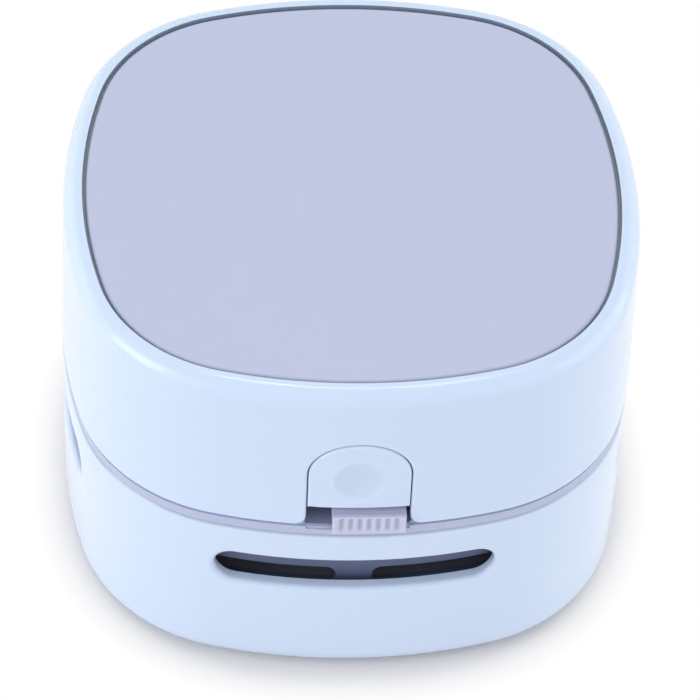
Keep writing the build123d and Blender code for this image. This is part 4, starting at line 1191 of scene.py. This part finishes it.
@dataclass
class PowerSlider(Assembly):
    """The knob under the button with its track, darkened by painted shade, and the switch that it
    moves.
    """

    left: float = -3.75
    width: float = 10.7
    front: float = -43.6
    pad_back: float = -42.65
    body_back: float = -39.4
    stem_back: float = -35.3
    bottom: float = 32.1
    body_bottom: float = 33.15
    top: float = 35.6
    edge: float = 0.25
    bar_edge: float = 0.02
    lap: float = 0.2
    row_step: float = 0.2
    column_step: float = 0.0838
    flutes: int = 7
    flute_pitch: float = 1.34
    flute_depth: float = 0.34
    flute_foot: float = 1.1
    flute_head: float = 0.5
    stem_width: float = 6.0
    fork_width: float = 2.1
    fork_depth: float = 2.3

    def build(self) -> None:
        """Builds the knob, and dresses the track, lever and switch."""
        self.dress(self.finishes.shaded_track, "slider_track")
        self.dress(self.finishes.dark, "switch_lever")
        self.dress(self.finishes.nickel, "slide_switch")
        self.announce(self.knob())

    def knob(self) -> bpy.types.Object:
        """The knob: a fluted finger pad before the body, and the stem that takes the lever.

        Returns:
            The new piece.
        """
        mesh = bmesh.new()
        self._pad(mesh)
        middle = self.left + self.width / 2
        stem = self.stem_width / 2
        fork = self.fork_width / 2
        root = self.stem_back - self.fork_depth
        body_front = self.pad_back - self.bar_edge / 2
        self._bar(mesh, self.left, self.left + self.width, body_front, self.body_back)
        self._bar(mesh, middle - stem, middle + stem, self.body_back - self.lap, root)
        self._bar(mesh, middle - stem, middle - fork, root - self.lap, self.stem_back)
        self._bar(mesh, middle + fork, middle + stem, root - self.lap, self.stem_back)
        piece = new_piece("fluted_knob", mesh, "slider", "lavender", self.finishes.knob)
        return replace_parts(piece, "slider_knob")

    def _bar(
        self, mesh: bmesh.types.BMesh, left: float, right: float, front: float, back: float
    ) -> None:
        """Adds a bar as high as the knob's body.

        Args:
            mesh: The bmesh to add to.
            left: Its left side.
            right: Its right side.
            front: Its front.
            back: Its back.
        """
        middle = Vector(((left + right) / 2, (front + back) / 2, (self.body_bottom + self.top) / 2))
        size = Vector((right - left, back - front, self.top - self.body_bottom))
        block(mesh, middle * MM, size * MM, self.bar_edge * MM)

    def _stations(self, length: float, step: float) -> list[float]:
        """Places from 0 to length, close together over the rounded edges at its ends.

        Args:
            length: The side's length.
            step: How far apart the places between the edges lie.

        Returns:
            The places, in order.
        """
        rounding = [self.edge * (1 - math.cos(turn * math.pi / 8)) for turn in range(5)]
        plain = length - 2 * self.edge
        count = round(plain / step)
        even = [self.edge + plain * number / count for number in range(1, count)]
        return rounding + even + [length - place for place in reversed(rounding)]

    def _rounding(self, place: float, length: float) -> float:
        """How far the rounded edge falls back at that place along a side."""
        inside = min(place, length - place, self.edge)
        return self.edge - math.sqrt(self.edge**2 - (self.edge - inside) ** 2)

    def _flute(self, across: float, rise: float) -> float:
        """How deep the flutes are: soft waves that end under the top edge and fade to the foot.

        Args:
            across: How far from the knob's left side.
            rise: How far above its foot.

        Returns:
            The depth.
        """
        shift = across - self.width / 2
        if abs(shift) > self.flutes * self.flute_pitch / 2:
            return 0.0
        above_foot = max(0.0, (rise - self.edge) / self.flute_foot)
        below_top = (self.top - self.bottom - rise) / self.flute_head
        fade = min(1.0, above_foot, below_top)
        wave = 0.5 + 0.5 * math.cos(2 * math.pi * shift / self.flute_pitch)
        return self.flute_depth * wave * fade * fade * (3 - 2 * fade)

    def _pad(self, mesh: bmesh.types.BMesh) -> None:
        """Adds the finger pad, closed at the back.

        Args:
            mesh: The bmesh to add to.
        """
        height = self.top - self.bottom
        rows = []
        for rise in self._stations(height, self.row_step):
            row = []
            for across in self._stations(self.width, self.column_step):
                back = max(self._rounding(across, self.width), self._rounding(rise, height))
                y = min(self.front + back + self._flute(across, rise), self.pad_back)
                point = Vector((self.left + across, y, self.bottom + rise))
                row.append(mesh.verts.new(point * MM))
            rows.append(row)
        for lower, upper in zip(rows, rows[1:]):
            for number in range(len(lower) - 1):
                mesh.faces.new((lower[number], lower[number + 1], upper[number + 1], upper[number]))
        right = [row[-1] for row in rows[1:-1]]
        left = [row[0] for row in rows[-2:0:-1]]
        rim = rows[0] + right + rows[-1][::-1] + left
        behind = [mesh.verts.new((corner.co.x, self.pad_back * MM, corner.co.z)) for corner in rim]
        for number in range(len(rim)):
            mesh.faces.new((rim[number - 1], rim[number], behind[number], behind[number - 1]))
        mesh.faces.new(behind)


@dataclass
class Electronics(Assembly):
    """The control board, the charging board and what is soldered to them."""

    board_back: float = -29.9
    board_bottom: float = 34.0
    charge_top: float = 39.0
    charge_middle: float = 35.9
    tongue_tip: float = 41.3
    tongue_height: float = 40.63
    tongue_half: float = 0.35
    pad_pitch: float = 0.5
    pad_length: float = 2.4
    pad_width: float = 0.26
    pad_thickness: float = 0.05
    pad_edge: float = 0.012
    pad_setback: float = 0.3
    pads: int = 12
    chip_height: float = 0.5
    chip_edge: float = 0.07
    # how far a chip's body and its two ends are shifted, their length, width and material number
    chip_parts: tuple[tuple[float, float, float, int], ...] = (
        (0.0, 1.1, 0.62, 0),
        (-0.58, 0.4, 0.68, 1),
        (0.58, 0.4, 0.68, 1),
    )
    # where the small parts stand: along the board, and up it or towards its back
    control_spots: tuple[Pair, ...] = (
        (-13, 3), (-13, 5), (-13, 7), (-12, 10.5), (-5, 10.5),
        (-4.5, 2.2), (4.8, 2.4), (4.6, 11), (12.8, 3), (13, 9.5),
    )
    charge_spots: tuple[Pair, ...] = (
        (-10, -2.4), (-10, -0.4), (-7, -2.4), (-7, 0.4), (-6.6, 2.4), (6.4, -2.4),
    )

    def build(self) -> None:
        """Dresses the boards and adds their small parts and the socket's pads."""
        self.dress(self.finishes.board, "control_board", "charge_board")
        self.dress(self.finishes.dark, "board_chips")
        self.dress(self.finishes.nickel, "usb_socket")
        self.dress(self.finishes.acrylic, "charge_light")
        self.announce(self.control_parts())
        self.announce(self.charge_parts())
        self.announce(self.contact_pads())

    def _chip(self, mesh: bmesh.types.BMesh, middle: Vector, along: Vector, away: Vector) -> None:
        """Adds a chip component: a ceramic body with a tinned end each side.

        Args:
            mesh: The bmesh to add to.
            middle: The middle of its seat on the board.
            along: The direction from end to end.
            away: The direction off the board.
        """
        across = along.cross(away)
        for shift, length, width, material in self.chip_parts:
            size = along * length + across * width + away * self.chip_height
            size = Vector((abs(part) for part in size))
            centre = middle + along * shift + away * (self.chip_height / 2)
            block(mesh, centre * MM, size * MM, self.chip_edge * MM, material)

    def control_parts(self) -> bpy.types.Object:
        """Resistors and capacitors on the back of the control board.

        Returns:
            The new piece.
        """
        mesh = bmesh.new()
        for x, rise in self.control_spots:
            middle = Vector((x, self.board_back, self.board_bottom + rise))
            self._chip(mesh, middle, Vector((1, 0, 0)), Vector((0, 1, 0)))
        materials = (self.finishes.ceramic, self.finishes.solder)
        return new_piece("control_board_parts", mesh, "machine", "dark_plastic", *materials)

    def charge_parts(self) -> bpy.types.Object:
        """Resistors and capacitors beside the charging socket.

        Returns:
            The new piece.
        """
        mesh = bmesh.new()
        for x, shift in self.charge_spots:
            middle = Vector((x, self.charge_middle + shift, self.charge_top))
            self._chip(mesh, middle, Vector((1, 0, 0)), Vector((0, 0, 1)))
        materials = (self.finishes.ceramic, self.finishes.solder)
        return new_piece("charge_board_parts", mesh, "machine", "dark_plastic", *materials)

    def contact_pads(self) -> bpy.types.Object:
        """The twelve gold pads on either side of the socket's tongue.

        Returns:
            The new piece.
        """
        mesh = bmesh.new()
        size = Vector((self.pad_width, self.pad_length, self.pad_thickness))
        y = self.tongue_tip - self.pad_setback - self.pad_length / 2
        for side in (-1, 1):
            for number in range(self.pads):
                x = (number - (self.pads - 1) / 2) * self.pad_pitch
                middle = Vector((x, y, self.tongue_height + side * self.tongue_half))
                block(mesh, middle * MM, size * MM, self.pad_edge * MM)
        return new_piece("usb_contact_pads", mesh, "machine", "brass", self.finishes.gold)


# ---------------------------------------------------------------- studio


@dataclass
class Viewpoint:
    """The camera, standing above the front and looking down."""

    place: Triple = (-32.61, -438.59, 490.38)
    pitch: float = 46.63
    yaw: float = -4.367
    roll: float = 2.795
    lens: float = 215.08
    sensor: float = 36.0

    def build(self) -> None:
        """Makes the scene's camera."""
        pitch, yaw, roll = (math.radians(angle) for angle in (self.pitch, self.yaw, self.roll))
        turn = Matrix.Rotation(yaw, 3, "Z")
        ahead = turn @ Vector((0, math.cos(pitch), -math.sin(pitch)))
        level_up = turn @ Vector((0, math.sin(pitch), math.cos(pitch)))
        level_right = turn @ Vector((1, 0, 0))
        right = level_right * math.cos(roll) + level_up * math.sin(roll)
        up = level_up * math.cos(roll) - level_right * math.sin(roll)
        data = bpy.data.cameras.new("camera")
        data.lens = self.lens
        data.sensor_width = self.sensor
        camera = bpy.data.objects.new("camera", data)
        axes = Matrix((right, up, -ahead)).transposed().to_4x4()
        camera.matrix_world = Matrix.Translation(Vector(self.place) * MM) @ axes
        bpy.context.scene.collection.objects.link(camera)
        bpy.context.scene.camera = camera


@dataclass(frozen=True)
class Softbox:
    """One square lamp that faces a point on the object."""

    name: str
    place: Triple
    size: float
    power: float
    aim_height: float = 30.0

    def build(self) -> None:
        """Hangs the lamp."""
        data = bpy.data.lights.new(self.name, "AREA")
        data.size = self.size
        data.energy = self.power
        lamp = bpy.data.objects.new(self.name, data)
        aim = Vector((0, 0, self.aim_height * MM)) - Vector(self.place)
        turn = aim.to_track_quat("-Z", "Y").to_matrix().to_4x4()
        lamp.matrix_world = Matrix.Translation(self.place) @ turn
        bpy.context.scene.collection.objects.link(lamp)


@dataclass
class Studio:
    """A white table under soft lamps."""

    ambient: float = 0.97
    floor_size: float = 6.0
    floor_colour: Colour = (0.86, 0.84, 0.835)
    corner_power: float = 2.4
    side_reach: float = 1.03
    shadow_start: float = 43.6
    shadow_end: float = 49.6
    shadow_fall: tuple[Pair, ...] = ((0.0, 0.0), (1.0, 1.0), (0.52, 0.63))
    lamps: tuple[Softbox, ...] = (
        Softbox("left_softbox", (-0.93, -0.3, 0.38), 0.6, 2.8),
        Softbox("right_softbox", (1.0, 0.0, 0.3), 1.0, 3.1),
        Softbox("front_left_softbox", (-0.75, -0.6, 0.5), 0.8, 1.2),
        Softbox("front_right_softbox", (0.7, -0.7, 0.35), 0.8, 0.7),
        Softbox("back_left_softbox", (-0.85, 0.75, 0.2), 1.0, 1.6),
        Softbox("back_right_softbox", (0.85, 0.75, 0.2), 1.0, 1.3),
        Softbox("top_left_softbox", (-0.07, 0.14, 0.99), 0.17, 0.44),
        Softbox("top_right_softbox", (0.14, 0.14, 0.985), 0.17, 0.36),
    )

    def build(self) -> None:
        """Lays the floor, hangs the lamps and sets the surroundings."""
        bpy.context.scene.view_settings.view_transform = "Standard"
        bpy.context.scene.world = self._surroundings()
        self._floor()
        for lamp in self.lamps:
            lamp.build()

    def _surroundings(self) -> bpy.types.World:
        """White where it is seen, plain soft light otherwise.

        Returns:
            The world.
        """
        s = Shader("studio_white", world=True)
        lit = s.node("ShaderNodeBackground", inputs={"Strength": self.ambient})
        white = s.node("ShaderNodeBackground", inputs={"Strength": 1.0})
        return s.close(s.blend(s.seen(), lit, white))

    def _floor(self) -> None:
        """Lays a plain pale table that keeps the shadow round the foot and is seen white beyond."""
        mesh = bmesh.new()
        bmesh.ops.create_grid(mesh, x_segments=1, y_segments=1, size=self.floor_size / 2)
        data = bpy.data.meshes.new("table")
        mesh.to_mesh(data)
        mesh.free()
        table = bpy.data.objects.new("table", data)
        bpy.context.scene.collection.objects.link(table)
        data.materials.append(self._table_top())

    def _table_top(self) -> bpy.types.Material:
        """The table's lacquer.

        Returns:
            The material.
        """
        s = Shader("table_white")
        point = s.place((self.side_reach, 1.0, 1.0))
        across, along = (abs(s.axis(point, name)) ** self.corner_power for name in ("X", "Y"))
        reach = (across + along) ** (1.0 / self.corner_power)
        fade = (reach - self.shadow_start) * (1.0 / (self.shadow_end - self.shadow_start))
        lacquer = s.node("ShaderNodeBsdfDiffuse", inputs={"Color": (*self.floor_colour, 1.0)})
        white = s.node("ShaderNodeEmission", inputs={"Strength": 1.0})
        beyond = s.ramp(fade, self.shadow_fall)
        return s.close(s.blend(s.seen() * beyond, lacquer, white))


def main() -> None:
    """Builds the camera, the pieces and the studio, in that order."""
    logging.basicConfig(level=logging.INFO, format="%(name)s: %(message)s")
    Viewpoint().build()
    finishes = Finishes()
    for assembly in (
        DustBox,
        IntakeNozzle,
        FanHousing,
        FilterCartridge,
        Rotor,
        Motor,
        CellPack,
        UpperCase,
        PushButton,
        PowerSlider,
        Electronics,
    ):
        assembly(finishes).build()
    Studio().build()


if __name__ == "__main__":
    main()
